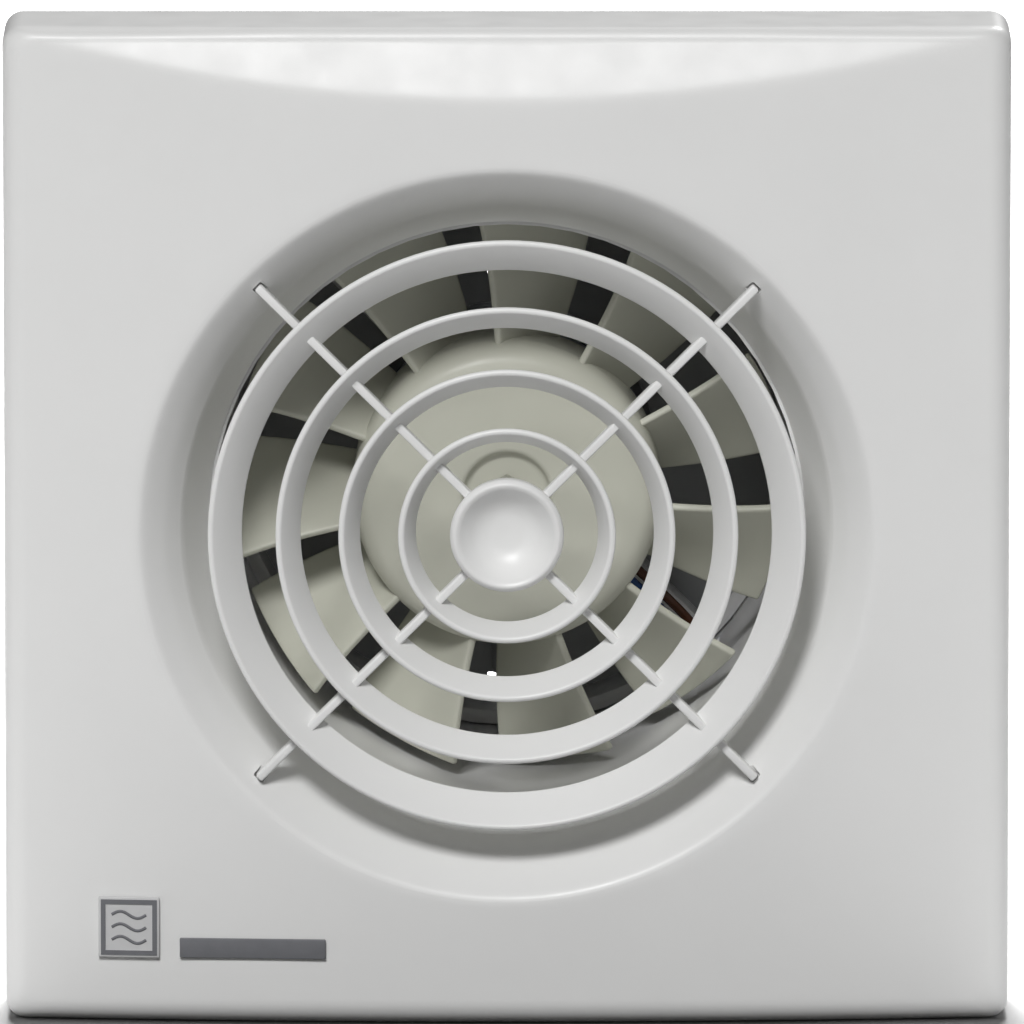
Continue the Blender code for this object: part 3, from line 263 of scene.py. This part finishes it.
def rounded(outline, radius, steps=4):
    """The outline with each corner that isn't on the axis rounded off."""
    points = []
    count = len(outline)
    for index, corner in enumerate(outline):
        here = Vector(corner)
        before = Vector(outline[index - 1]) - here
        after = Vector(outline[(index + 1) % count]) - here
        if here.x < 0.001:
            points.append(here)
            continue
        reach = min(radius, before.length * 0.45, after.length * 0.45)
        start = here + before.normalized() * reach
        end = here + after.normalized() * reach
        for step in range(steps + 1):
            share = step / steps
            points.append(start.lerp(here, share).lerp(here.lerp(end, share), share))
    return points


def rib(front, back, front_thick, back_thick, steps=8):
    """The section of a leaning louvre with round edges, as (radius, place along the duct) points."""
    front, back = Vector(front), Vector(back)
    along = (back - front).normalized()
    across = Vector((-along.y, along.x))
    points = []
    for end, thick, way in ((front, front_thick, 1), (back, back_thick, -1)):
        centre = end + along * way * thick / 2
        for step in range(steps + 1):
            turn = math.pi * step / steps
            reach = across * math.cos(turn) - along * math.sin(turn)
            points.append(centre + reach * way * thick / 2)
    return points


# ------------------------------------------------------------------ materials


def colour(code):
    """An sRGB hex colour as linear values."""
    parts = [int(code[i : i + 2], 16) / 255 for i in (1, 3, 5)]
    linear = [part / 12.92 if part <= 0.04045 else ((part + 0.055) / 1.055) ** 2.4 for part in parts]
    return (*linear, 1.0)


def add_node(tree, kind, settings, inputs):
    """Add a node, set its properties, and set or link its inputs."""
    made = tree.nodes.new(f"ShaderNode{kind}")
    for setting, value in settings.items():
        setattr(made, setting, value)
    for key, value in inputs.items():
        socket = made.inputs[key]
        if isinstance(value, bpy.types.NodeSocket):
            tree.links.new(value, socket)
        else:
            socket.default_value = value
    return made


def material(name):
    """An empty Principled material: its node tree, its shader and its object coordinates."""
    made = bpy.data.materials.new(name)
    made.use_nodes = True
    tree = made.node_tree
    shader = tree.nodes["Principled BSDF"]
    place = add_node(tree, "TexCoord", {}, {}).outputs["Object"]
    return made, tree, shader, place


def cells_per_metre(size):
    """A noise texture's scale for features of this size in millimetres."""
    return 1 / (size * MM)


def bands_per_metre(pitch):
    """A wave texture's scale for bands of this pitch in millimetres."""
    return math.tau / 20 / (pitch * MM)


def textured(name, light, dark, patch, smooth, rough, grain, height, metallic=0.0, ior=None):
    """Two close tones in soft patches, a roughness that wanders between two values, and a fine grain."""
    made, tree, shader, place = material(name)
    patches = add_node(
        tree, "TexNoise", {}, {"Vector": place, "Scale": cells_per_metre(patch), "Detail": 4.0}
    )
    tones = add_node(
        tree,
        "Mix",
        {"data_type": "RGBA"},
        {0: patches.outputs[0], 6: colour(light), 7: colour(dark)},
    )
    wander = add_node(
        tree, "TexNoise", {}, {"Vector": place, "Scale": cells_per_metre(patch / 5), "Detail": 6.0}
    )
    sheen = add_node(
        tree,
        "MapRange",
        {},
        {"Value": wander.outputs[0], "From Min": 0.3, "From Max": 0.7, "To Min": smooth, "To Max": rough},
    )
    fine = add_node(
        tree, "TexNoise", {}, {"Vector": place, "Scale": cells_per_metre(grain), "Detail": 3.0}
    )
    bump = add_node(
        tree, "Bump", {}, {"Height": fine.outputs[0], "Distance": height * MM, "Strength": 1.0}
    )
    tree.links.new(tones.outputs[2], shader.inputs["Base Color"])
    tree.links.new(sheen.outputs[0], shader.inputs["Roughness"])
    tree.links.new(bump.outputs[0], shader.inputs["Normal"])
    shader.inputs["Metallic"].default_value = metallic
    if ior:
        shader.inputs["IOR"].default_value = ior
    return made


def banded(name, light, dark, pitch, height, direction, shape, roughness, metallic):
    """Parallel bands of two tones with a groove between them, as in a stack of sheets or turns of wire."""
    made, tree, shader, place = material(name)
    wave = add_node(
        tree,
        "TexWave",
        {"wave_type": shape, f"{shape.lower()}_direction": direction, "wave_profile": "SIN"},
        {"Vector": place, "Scale": bands_per_metre(pitch), "Distortion": 0.3},
    )
    blotches = add_node(
        tree, "TexNoise", {}, {"Vector": place, "Scale": cells_per_metre(2.5), "Detail": 4.0}
    )
    share = add_node(
        tree, "Mix", {"data_type": "FLOAT"}, {0: 0.35, 2: wave.outputs["Fac"], 3: blotches.outputs[0]}
    )
    tones = add_node(
        tree, "Mix", {"data_type": "RGBA"}, {0: share.outputs[0], 6: colour(dark), 7: colour(light)}
    )
    bump = add_node(
        tree, "Bump", {}, {"Height": wave.outputs["Fac"], "Distance": height * MM, "Strength": 1.0}
    )
    tree.links.new(tones.outputs[2], shader.inputs["Base Color"])
    tree.links.new(bump.outputs[0], shader.inputs["Normal"])
    shader.inputs["Roughness"].default_value = roughness
    shader.inputs["Metallic"].default_value = metallic
    return made


finishes = {
    # Injection-moulded ABS from a lightly textured tool: an even white, a satin gloss and a faint grain.
    "white_abs": textured("white_moulded_abs", "#ECECEB", "#E6E6E5", 30, 0.38, 0.46, 0.35, 0.004, ior=1.54),
    # Moulded polypropylene, warmer and duller than the ABS round it.
    "cream_plastic": textured(
        "cream_moulded_polypropylene", "#D3D3C6", "#C7C8BA", 18, 0.36, 0.48, 0.5, 0.008, ior=1.49
    ),
    # Thin moulded flaps in a plain light grey.
    "grey_plastic": textured("grey_moulded_abs", "#B4B6B7", "#A9ABAC", 15, 0.38, 0.5, 0.5, 0.008, ior=1.54),
    # Pad-printed ink: flat, slightly uneven mid grey.
    "grey_print": textured("grey_printed_ink", "#77787C", "#6A6B6F", 2, 0.45, 0.6, 0.25, 0.004, ior=1.5),
    # The plain field behind the printed lines.
    "pale_print": textured("pale_grey_plate", "#D2D2D2", "#C6C6C7", 3, 0.4, 0.5, 0.25, 0.004, ior=1.5),
    # Glass-filled polyamide: near black, with a visible moulded texture.
    "black_plastic": textured("black_polyamide", "#26262A", "#1C1C1F", 6, 0.42, 0.58, 0.4, 0.012, ior=1.53),
    # Moulded rubber: dull black with a dusty bloom.
    "rubber": textured("moulded_rubber", "#2B2B2C", "#202021", 5, 0.7, 0.85, 0.5, 0.02, ior=1.52),
    # Zinc plate on steel: bright, a little yellow, with a faint spangle.
    "zinc_steel": textured("zinc_plated_steel", "#CFCFC8", "#B9B9B2", 1.2, 0.22, 0.38, 0.3, 0.004, 1.0),
    # Ground steel: cleaner and brighter than the plated screws.
    "ground_steel": textured("ground_steel", "#D6D6D8", "#C6C6C9", 2, 0.16, 0.28, 0.2, 0.002, 1.0),
    # Die-cast aluminium: matt grey with the cast skin's mottle.
    "die_cast_aluminium": textured(
        "die_cast_aluminium", "#C2C4C6", "#A7A9AB", 4, 0.38, 0.55, 0.6, 0.015, 1.0
    ),
    # Turned brass.
    "brass": textured("turned_brass", "#D9B566", "#C49E4F", 1.5, 0.22, 0.36, 0.25, 0.004, 1.0),
    # Extruded PVC sheaths, smooth and slightly glossy.
    "brown_lead": textured("brown_pvc_sheath", "#6B4026", "#5C351E", 6, 0.3, 0.42, 0.5, 0.004, ior=1.53),
    "blue_lead": textured("blue_pvc_sheath", "#2F62A8", "#275493", 6, 0.3, 0.42, 0.5, 0.004, ior=1.53),
    # Half-millimetre electrical steel sheets: fine dark lines across the core.
    "laminations": banded(
        "electrical_steel_laminations", "#8E9094", "#4C4D50", 0.5, 0.02, "Y", "BANDS", 0.45, 1.0
    ),
    # Enamelled copper wire about 0.4 mm thick, wound in layers that step away from the shaft.
    "copper_wire": banded(
        "enamelled_copper_winding", "#B5683A", "#6E3518", 0.4, 0.06, "Y", "RINGS", 0.32, 1.0
    ),
}


def place_piece(piece, body, slot, *nodes):
    """Give a finished piece its material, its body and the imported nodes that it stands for."""
    if not piece.data.materials:
        piece.data.materials.append(finishes[slot])
    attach(piece, body)
    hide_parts(*nodes)
    return piece


# ---------------------------------------------------------------- front cover


def crease_z(x):
    """Where the sloping top band meets the crowned face."""
    return COVER_TOP - CREASE_DROP * (1 - (x / COVER_HALF) ** 2)


def front_y(x, z):
    """The crowned face below the crease and the band that leans back above it, with a soft turn between."""
    crown = -COVER_SIDE_DEPTH - COVER_BULGE * (1 - (x / COVER_HALF) ** 2)
    band = -COVER_SIDE_DEPTH - COVER_BULGE * (COVER_TOP - z) / CREASE_DROP
    return (crown + band + math.hypot(crown - band, CREASE_SOFT)) / 2


def perimeter(side_inset, top_inset, bottom_inset, steps=64, corner_steps=8):
    """(x, z) points round the cover's outline, closer together near the corners."""
    x1 = COVER_HALF - side_inset
    z1 = COVER_TOP - top_inset
    z0 = COVER_BOTTOM + bottom_inset
    reach = [(1 + math.tan(math.pi / 4 * (2 * i / steps - 1))) / 2 for i in range(1, steps)]
    centres = (
        (COVER_CORNER - x1, z1 - COVER_CORNER, 270),
        (x1 - COVER_CORNER, z1 - COVER_CORNER, 0),
        (x1 - COVER_CORNER, z0 + COVER_CORNER, 90),
        (COVER_CORNER - x1, z0 + COVER_CORNER, 180),
    )
    arcs = []
    for x, z, start in centres:
        arc = []
        for step in range(corner_steps + 1):
            turn = math.radians(start + 90 * step / corner_steps)
            arc.append(Vector((x + COVER_CORNER * math.sin(turn), z + COVER_CORNER * math.cos(turn))))
        arcs.append(arc)
    points = []
    for arc, following in zip(arcs, arcs[1:] + arcs[:1]):
        points += arc
        points += [arc[-1].lerp(following[0], share) for share in reach]
    return points


def on_circle(points, radius):
    """The same points moved straight towards the duct axis or away from it, on to a circle."""
    return [point.normalized() * radius for point in points]


def smooth_curve(stops, per_stretch):
    """Points on a smooth curve through the stops."""
    stops = [Vector(stop) for stop in stops]
    padded = [stops[0], *stops, stops[-1]]
    points = []
    for a, b, c, d in zip(padded, padded[1:], padded[2:], padded[3:]):
        for step in range(per_stretch):
            t = step / per_stretch
            second = 2 * a - 5 * b + 4 * c - d
            third = 3 * b - a - 3 * c + d
            points.append(b + (c - a) * t / 2 + second * t**2 / 2 + third * t**3 / 2)
    return points + [stops[-1]]


def cover_rings(inward):
    """Rings of the cover's skin from its back edge to the end of its throat, moved inward by a wall."""
    edge = perimeter(inward, inward, inward)
    side, top = max(EDGE_ROUND, inward + 0.8), max(TOP_EDGE_ROUND, inward + 0.8)
    inner_edge = perimeter(side, top, side)
    rings = [[Vector((p.x, COVER_BACK, p.y)) for p in edge]]
    for turn in [math.radians(degrees) for degrees in range(90, -1, -10)]:
        ring = []
        for outer, inner in zip(edge, inner_edge):
            across = outer - inner
            depth = max(abs(across.x), abs(across.y))
            place = inner + across * math.sin(turn)
            y = front_y(inner.x, inner.y) + inward + depth * (1 - math.cos(turn))
            ring.append(Vector((place.x, y, place.y)))
        rings.append(ring)
    for number, step in enumerate(CREASE_STEPS):
        inset = RING_STEP * (number + 1)
        outline = perimeter(side + inset, top + inset, side + inset)
        flat = [Vector((p.x, min(p.y, crease_z(p.x) + step) if p.y > 0 else p.y)) for p in outline]
        rings.append([Vector((p.x, front_y(p.x, p.y) + inward, p.y)) for p in flat])
    lip = on_circle(edge, LIP_OUTER_R)
    for share in FACE_SHARES:
        between = [a.lerp(b, share) for a, b in zip(flat, lip)]
        rings.append([Vector((p.x, front_y(p.x, p.y) + inward, p.y)) for p in between])
    for across, down in smooth_curve(LIP_CURVE, 5)[1:]:
        lean = math.atan2(LIP_DEPTH * down, LIP_WIDTH * across) * down**0.3
        radius = LIP_OUTER_R - LIP_WIDTH * across + inward * math.sin(lean)
        drop = LIP_DEPTH * down + inward * math.cos(lean)
        ring = []
        for p in on_circle(edge, radius):
            crown = front_y(p.x, 0) * (1 - down) + front_y(0, 0) * down
            ring.append(Vector((p.x, crown + drop, p.y)))
        rings.append(ring)
    start = rings[-1][0].y
    for share in (0.15, 0.5, 1.0):
        radius = LIP_INNER_R + inward + (THROAT_R - 0.1 * inward - LIP_INNER_R) * share
        y = start + (THROAT_BACK - start) * share
        rings.append([Vector((p.x, y, p.y)) for p in on_circle(edge, radius)])
    return rings


def make_cover():
    """The moulded shell with its four clips and the pockets for the grille's spoke tips."""
    cover = loft("front_cover", cover_rings(0.0) + cover_rings(COVER_WALL)[::-1])
    clips = []
    for side in (-1, 1):
        for z in CLIP_Z:
            x0, x1 = sorted((side * CLIP_X[0], side * CLIP_X[1]))
            root = front_y(CLIP_X[1], 0) + COVER_WALL * 0.4
            low = (x0, root, z - CLIP_WIDTH / 2)
            clips.append(bar("clip", low, (x1, CLIP_BACK, z + CLIP_WIDTH / 2), 0.35))
    combine(cover, clips, "UNION")
    half = SPOKE_WIDTH / 2 + SPOKE_FIT
    slot = bar(
        "slot",
        (-half, POCKET_FRONT, THROAT_R + 2.0),
        (half, SPOKE_BACK + SPOKE_FIT, SPOKE_TIP_R + SPOKE_FIT),
        0.25,
        2,
    )
    combine(cover, copies_about_duct(slot, (45, 135, 225, 315)), "DIFFERENCE")
    return place_piece(cover, "cover", "white_abs", "front_cover")


def make_grille():
    """Four leaning louvre rings and a dished hub on four thin spokes."""
    rings = []
    for radius, lean in zip(LOUVRE_R, LOUVRE_LEAN):
        front = (radius - 0.85, LOUVRE_FRONT)
        back = (radius - lean + 0.15, GRILLE_BACK)
        section = rib(front, back, LOUVRE_FRONT_THICK, LOUVRE_BACK_THICK)
        rings.append(lathe("louvre", section, 160, angle=50))
    dish = [
        (0.0, GRILLE_FRONT + 4.2),
        (3.2, GRILLE_FRONT + 4.0),
        (5.0, GRILLE_FRONT + 3.1),
        (6.5, GRILLE_FRONT + 1.5),
        (7.5, GRILLE_FRONT + 0.3),
        (8.2, GRILLE_FRONT),
        (HUB_DISH_R, GRILLE_FRONT + 0.8),
        (HUB_DISH_R - 0.5, GRILLE_BACK + 0.4),
        (0.0, GRILLE_BACK + 0.4),
    ]
    hub = lathe("hub", rounded(dish, 1.0), 128, angle=50)
    half = SPOKE_WIDTH / 2
    root = (-half, SPOKE_FRONT, HUB_DISH_R * 0.85)
    spoke = bar("spoke", root, (half, SPOKE_BACK - 0.1, SPOKE_TIP_R), 0.3)
    grille = merged(rings + [hub])
    combine(grille, copies_about_duct(spoke, (45, 135, 225, 315)), "UNION")
    grille.name = "inlet_grille"
    return place_piece(grille, "cover", "white_abs", "inlet_grille")


def lean_on_face(piece, low, high):
    """Slope a plate along the crowned face from its outer end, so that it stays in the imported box."""
    slope = (front_y(high.x, 0) - front_y(low.x, 0)) / (high.x - low.x)
    for vert in piece.data.vertices:
        vert.co.y += slope * (vert.co.x - low.x * MM)


def wave_line(name, start, end, z):
    """A round line that waves along a level stretch."""
    data = bpy.data.curves.new(name, "CURVE")
    data.dimensions = "3D"
    data.bevel_depth = WAVE_R * MM
    data.bevel_resolution = 3
    data.use_fill_caps = True
    spline = data.splines.new("POLY")
    count = 40
    spline.points.add(count)
    for index, point in enumerate(spline.points):
        share = index / count
        x = start.x + (end.x - start.x) * share
        up = z + WAVE_RISE * math.sin(math.tau * share)
        point.co = (x * MM, start.y * MM, up * MM, 1.0)
    line = bpy.data.objects.new(name, data)
    bpy.context.scene.collection.objects.link(line)
    bpy.ops.object.select_all(action="DESELECT")
    line.select_set(True)
    bpy.context.view_layer.objects.active = line
    bpy.ops.object.convert(target="MESH")
    return bpy.context.object


def make_badge():
    """A pale square plate with a raised dark border and three dark lines that stand for moving air."""
    low, high = span("badge")
    front = low.y + front_y(low.x, 0) - front_y(high.x, 0)
    base = front + BADGE_THICK
    plate = bar("badge", (low.x, front + BADGE_FIELD, low.z), (high.x, base, high.z), 0.12)
    plate.data.materials.append(finishes["pale_print"])
    plate.data.materials.append(finishes["grey_print"])
    mesh = start_editing(plate)
    bpy.ops.mesh.select_all(action="DESELECT")
    mesh.faces.ensure_lookup_table()
    field = max(mesh.faces, key=lambda face: -face.normal.y * face.calc_area())
    field.select_set(True)
    bmesh.update_edit_mesh(plate.data)
    bpy.ops.mesh.inset(thickness=BADGE_RIM_OUTER * MM, depth=0)
    bpy.ops.mesh.inset(thickness=BADGE_RIM_WIDTH * MM, depth=0)
    mesh = bmesh.from_edit_mesh(plate.data)
    inner = [face for face in mesh.faces if face.select]
    border = [
        face
        for face in mesh.faces
        if face.normal.y < -0.9
        and face not in inner
        and any(edge in inner[0].edges for edge in face.edges)
    ]
    bpy.ops.mesh.select_all(action="DESELECT")
    for face in border:
        face.select_set(True)
        face.material_index = 1
    bmesh.update_edit_mesh(plate.data)
    bpy.ops.mesh.extrude_region_move(TRANSFORM_OT_translate={"value": (0, -BADGE_RIM_RISE * MM, 0)})
    close_up(plate, 30)
    lines = []
    level = front + WAVE_DEPTH
    for z in WAVE_HEIGHTS:
        start = Vector((low.x + WAVE_MARGIN, level, 0))
        end = Vector((high.x - WAVE_MARGIN, level, 0))
        line = wave_line("line", start, end, (low.z + high.z) / 2 + z)
        for vert in line.data.vertices:
            vert.co.y = level * MM + (vert.co.y - level * MM) * WAVE_FLATTEN
        line.data.materials.append(finishes["pale_print"])
        line.data.materials.append(finishes["grey_print"])
        for face in line.data.polygons:
            face.material_index = 1
        lines.append(line)
    merged([plate] + lines)
    lean_on_face(plate, low, high)
    return place_piece(plate, "cover", "grey_print", "badge")


def make_name_bar():
    """A slim plain bar where lettering would be."""
    low, high = span("name_bar")
    front = low.y + front_y(low.x, 0) - front_y(high.x, 0)
    plate = bar("name_bar", (low.x, front, low.z), (high.x, front + NAME_BAR_THICK, high.z), 0.2)
    start_editing(plate)
    bpy.ops.mesh.select_all(action="SELECT")
    bpy.ops.mesh.subdivide(number_cuts=1)
    close_up(plate, 30)
    lean_on_face(plate, low, high)
    return place_piece(plate, "cover", "grey_print", "name_bar")


# ------------------------------------------------------------------ impeller


def make_blade():
    """One helical blade, from inside the hub's wall to the tip circle."""
    bpy.ops.object.select_all(action="DESELECT")
    bpy.ops.mesh.primitive_grid_add(x_subdivisions=20, y_subdivisions=14, size=1)
    blade = bpy.context.object
    blade.name = "blade"
    root = HUB_R - HUB_WALL * 0.6
    for vert in blade.data.vertices:
        along, outward = vert.co.x + 0.5, vert.co.y + 0.5
        radius = root + (BLADE_TIP_R - root) * outward
        turn = math.radians(BLADE_START - BLADE_SWEEP * outward**2 + BLADE_WRAP * along)
        camber = BLADE_CAMBER * math.sin(math.pi * along)
        y = BLADE_FRONT + BLADE_INSET + (BLADE_DEPTH - 2 * BLADE_INSET) * (along + camber)
        vert.co = Vector((radius * math.sin(turn), y, radius * math.cos(turn))) * MM
    apply_modifier(blade, "SOLIDIFY", thickness=BLADE_THICK * MM, offset=0)
    apply_modifier(blade, "BEVEL", width=0.4 * MM, segments=3, limit_method="ANGLE")
    start_editing(blade)
    return close_up(blade, 50)


def make_impeller():
    """A cup-shaped hub with a sleeve for the shaft, and eleven helical blades."""
    inner = HUB_R - HUB_WALL
    profile = [
        (SHAFT_BORE_R, HUB_FRONT + 1.6),
        (6.6, HUB_FRONT + 1.6),
        (7.2, HUB_FRONT),
        (19.6, HUB_FRONT),
        (22.4, HUB_FRONT + 0.8),
        (HUB_R - 0.6, HUB_FRONT + 2.4),
        (HUB_R, HUB_FRONT + 4.6),
        (HUB_R, HUB_BACK),
        (inner, HUB_BACK),
        (inner, HUB_FRONT + 5.4),
        (inner - 2.2, HUB_FRONT + 3.4),
        (SLEEVE_R + 0.6, HUB_FRONT + 3.4),
        (SLEEVE_R, SLEEVE_BACK),
        (SHAFT_BORE_R, SLEEVE_BACK),
    ]
    wheel = lathe("impeller", rounded(profile, 1.2, 6), 128, angle=50)
    turns = [360 / BLADES * index for index in range(BLADES)]
    combine(wheel, copies_about_duct(make_blade(), turns), "UNION")
    return place_piece(wheel, "fan_wheel", "cream_plastic", "impeller")


# ------------------------------------------------- pieces that keep their form


def softened(node, body, slot, edge):
    """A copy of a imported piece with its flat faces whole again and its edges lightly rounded."""
    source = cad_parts[node]
    piece = bpy.data.objects.new(f"{node}_finished", source.data.copy())
    bpy.context.scene.collection.objects.link(piece)
    piece.data.materials.clear()
    bpy.ops.object.select_all(action="DESELECT")
    start_editing(piece)
    bpy.ops.mesh.select_all(action="SELECT")
    bpy.ops.mesh.remove_doubles(threshold=1e-6)
    bpy.ops.mesh.dissolve_limited(angle_limit=math.radians(0.5))
    bpy.ops.object.mode_set(mode="OBJECT")
    if edge:
        apply_modifier(
            piece,
            "BEVEL",
            width=edge * MM,
            segments=2,
            limit_method="ANGLE",
            angle_limit=math.radians(SMOOTH_ANGLE),
        )
    bpy.ops.object.select_all(action="DESELECT")
    piece.select_set(True)
    bpy.context.view_layer.objects.active = piece
    bpy.ops.object.shade_smooth_by_angle(angle=math.radians(SMOOTH_ANGLE))
    return place_piece(piece, body, slot, node)


KEPT = (
    ("base_housing", "housing", "white_abs", 0.2),
    ("motor_support", "housing", "white_abs", 0.2),
    ("terminal_cover", "housing", "white_abs", 0.3),
    ("cable_clamp", "housing", "white_abs", 0.3),
    ("terminal_block", "housing", "black_plastic", 0.2),
    ("cable_grommet", "housing", "rubber", 0.25),
    ("motor_front_shield", "housing", "die_cast_aluminium", 0.2),
    ("motor_rear_shield", "housing", "die_cast_aluminium", 0.2),
    ("stator_core", "housing", "laminations", 0.0),
    ("shutter_rod", "housing", "ground_steel", 0.15),
    ("front_bearing_outer_race", "housing", "ground_steel", 0.12),
    ("rear_bearing_outer_race", "housing", "ground_steel", 0.12),
    ("motor_lead_live", "housing", "brown_lead", 0.0),
    ("motor_lead_neutral", "housing", "blue_lead", 0.0),
    ("impeller_nut", "fan_wheel", "zinc_steel", 0.2),
    ("motor_shaft", "fan_wheel", "ground_steel", 0.1),
    ("rotor", "fan_wheel", "laminations", 0.0),
    ("front_bearing_inner_race", "fan_wheel", "ground_steel", 0.1),
    ("rear_bearing_inner_race", "fan_wheel", "ground_steel", 0.1),
    ("left_flap", "left_shutter", "grey_plastic", 0.2),
    ("right_flap", "right_shutter", "grey_plastic", 0.2),
    ("left_flap_spring", "left_shutter", "ground_steel", 0.0),
    ("right_flap_spring", "right_shutter", "ground_steel", 0.0),
    *[(f"stator_coil_{number}", "housing", "copper_wire", 0.4) for number in (1, 2, 3, 4)],
    *[(f"rubber_damper_{number}", "housing", "rubber", 0.3) for number in (1, 2, 3, 4)],
    *[(f"support_screw_{number}", "housing", "zinc_steel", 0.15) for number in (1, 2, 3, 4)],
    *[(f"motor_bolt_{number}", "housing", "zinc_steel", 0.15) for number in (1, 2)],
    *[(f"clamp_screw_{number}", "housing", "zinc_steel", 0.15) for number in (1, 2)],
    *[(f"terminal_screw_{number}", "housing", "brass", 0.15) for number in (1, 2)],
)


# ----------------------------------------------------- floor, lights and camera


STAGE_MIDDLE = (0, -0.02, 0)
WORLD_STRENGTH = 0.07
CAMERA_AIM = (0.8, -25.0, 3.9)
CAMERA_RISE = 9.5
CAMERA_DISTANCE = 3.0
CAMERA_LENS = 673


def soft_light(name, place, aim, size, power, spread=180):
    """A round lamp, placed in metres, with its power in watts and its spread in degrees."""
    data = bpy.data.lights.new(name, "AREA")
    data.shape = "DISK"
    data.size = size
    data.energy = power
    data.spread = math.radians(spread)
    lamp = bpy.data.objects.new(name, data)
    bpy.context.scene.collection.objects.link(lamp)
    lamp.location = place
    lamp.rotation_euler = (Vector(aim) - lamp.location).to_track_quat("-Z", "Y").to_euler()
    return lamp


def set_stage():
    """A pale floor at the cover's lower edge, a dim sky and three soft lamps."""
    bpy.ops.object.select_all(action="DESELECT")
    bpy.ops.mesh.primitive_plane_add(size=8, location=(0, 1, COVER_BOTTOM * MM))
    floor = bpy.context.object
    floor.name = "floor"
    # Plain matt paper: an even pale tone with no gloss.
    paper = textured("pale_paper", "#D2D2D2", "#CFCFCF", 400, 0.8, 0.9, 2, 0.01, ior=1.45)
    floor.data.materials.append(paper)
    world = bpy.data.worlds.new("studio")
    world.use_nodes = True
    sky = world.node_tree.nodes["Background"]
    sky.inputs["Color"].default_value = colour("#FFFFFF")
    sky.inputs["Strength"].default_value = WORLD_STRENGTH
    bpy.context.scene.world = world
    bpy.context.scene.view_settings.view_transform = "Standard"
    key = soft_light("key", (-0.45, -2.2, 1.9), STAGE_MIDDLE, 0.8, 62)
    back = soft_light("back", (0.9, 2.0, 1.6), STAGE_MIDDLE, 0.9, 36)
    backdrop = soft_light("backdrop", (0, 1.1, 1.2), (0, 0.6, COVER_BOTTOM * MM), 0.8, 20, 80)
    # Flags keep the fan's lamps off the floor, so that its bounce doesn't flatten the well, and the
    # backdrop lamp off the fan.
    for lamp, state in ((key, "EXCLUDE"), (back, "EXCLUDE"), (backdrop, "INCLUDE")):
        flagged = bpy.data.collections.new(f"{lamp.name}_flags")
        flagged.objects.link(floor)
        flagged.collection_objects[0].light_linking.link_state = state
        lamp.light_linking.receiver_collection = flagged


def set_camera():
    """A long lens a little above the fan, square to its face."""
    aim = Vector(CAMERA_AIM) * MM
    rise = math.radians(CAMERA_RISE)
    data = bpy.data.cameras.new("camera")
    data.sensor_width = 36
    data.lens = CAMERA_LENS
    data.dof.use_dof = False
    camera = bpy.data.objects.new("camera", data)
    bpy.context.scene.collection.objects.link(camera)
    camera.location = aim + Vector((0, -math.cos(rise), math.sin(rise))) * CAMERA_DISTANCE
    camera.rotation_euler = (aim - camera.location).to_track_quat("-Z", "Y").to_euler()
    bpy.context.scene.camera = camera


make_cover()
make_grille()
make_badge()
make_name_bar()
make_impeller()
for node, body, slot, edge in KEPT:
    softened(node, body, slot, edge)
set_stage()
set_camera()
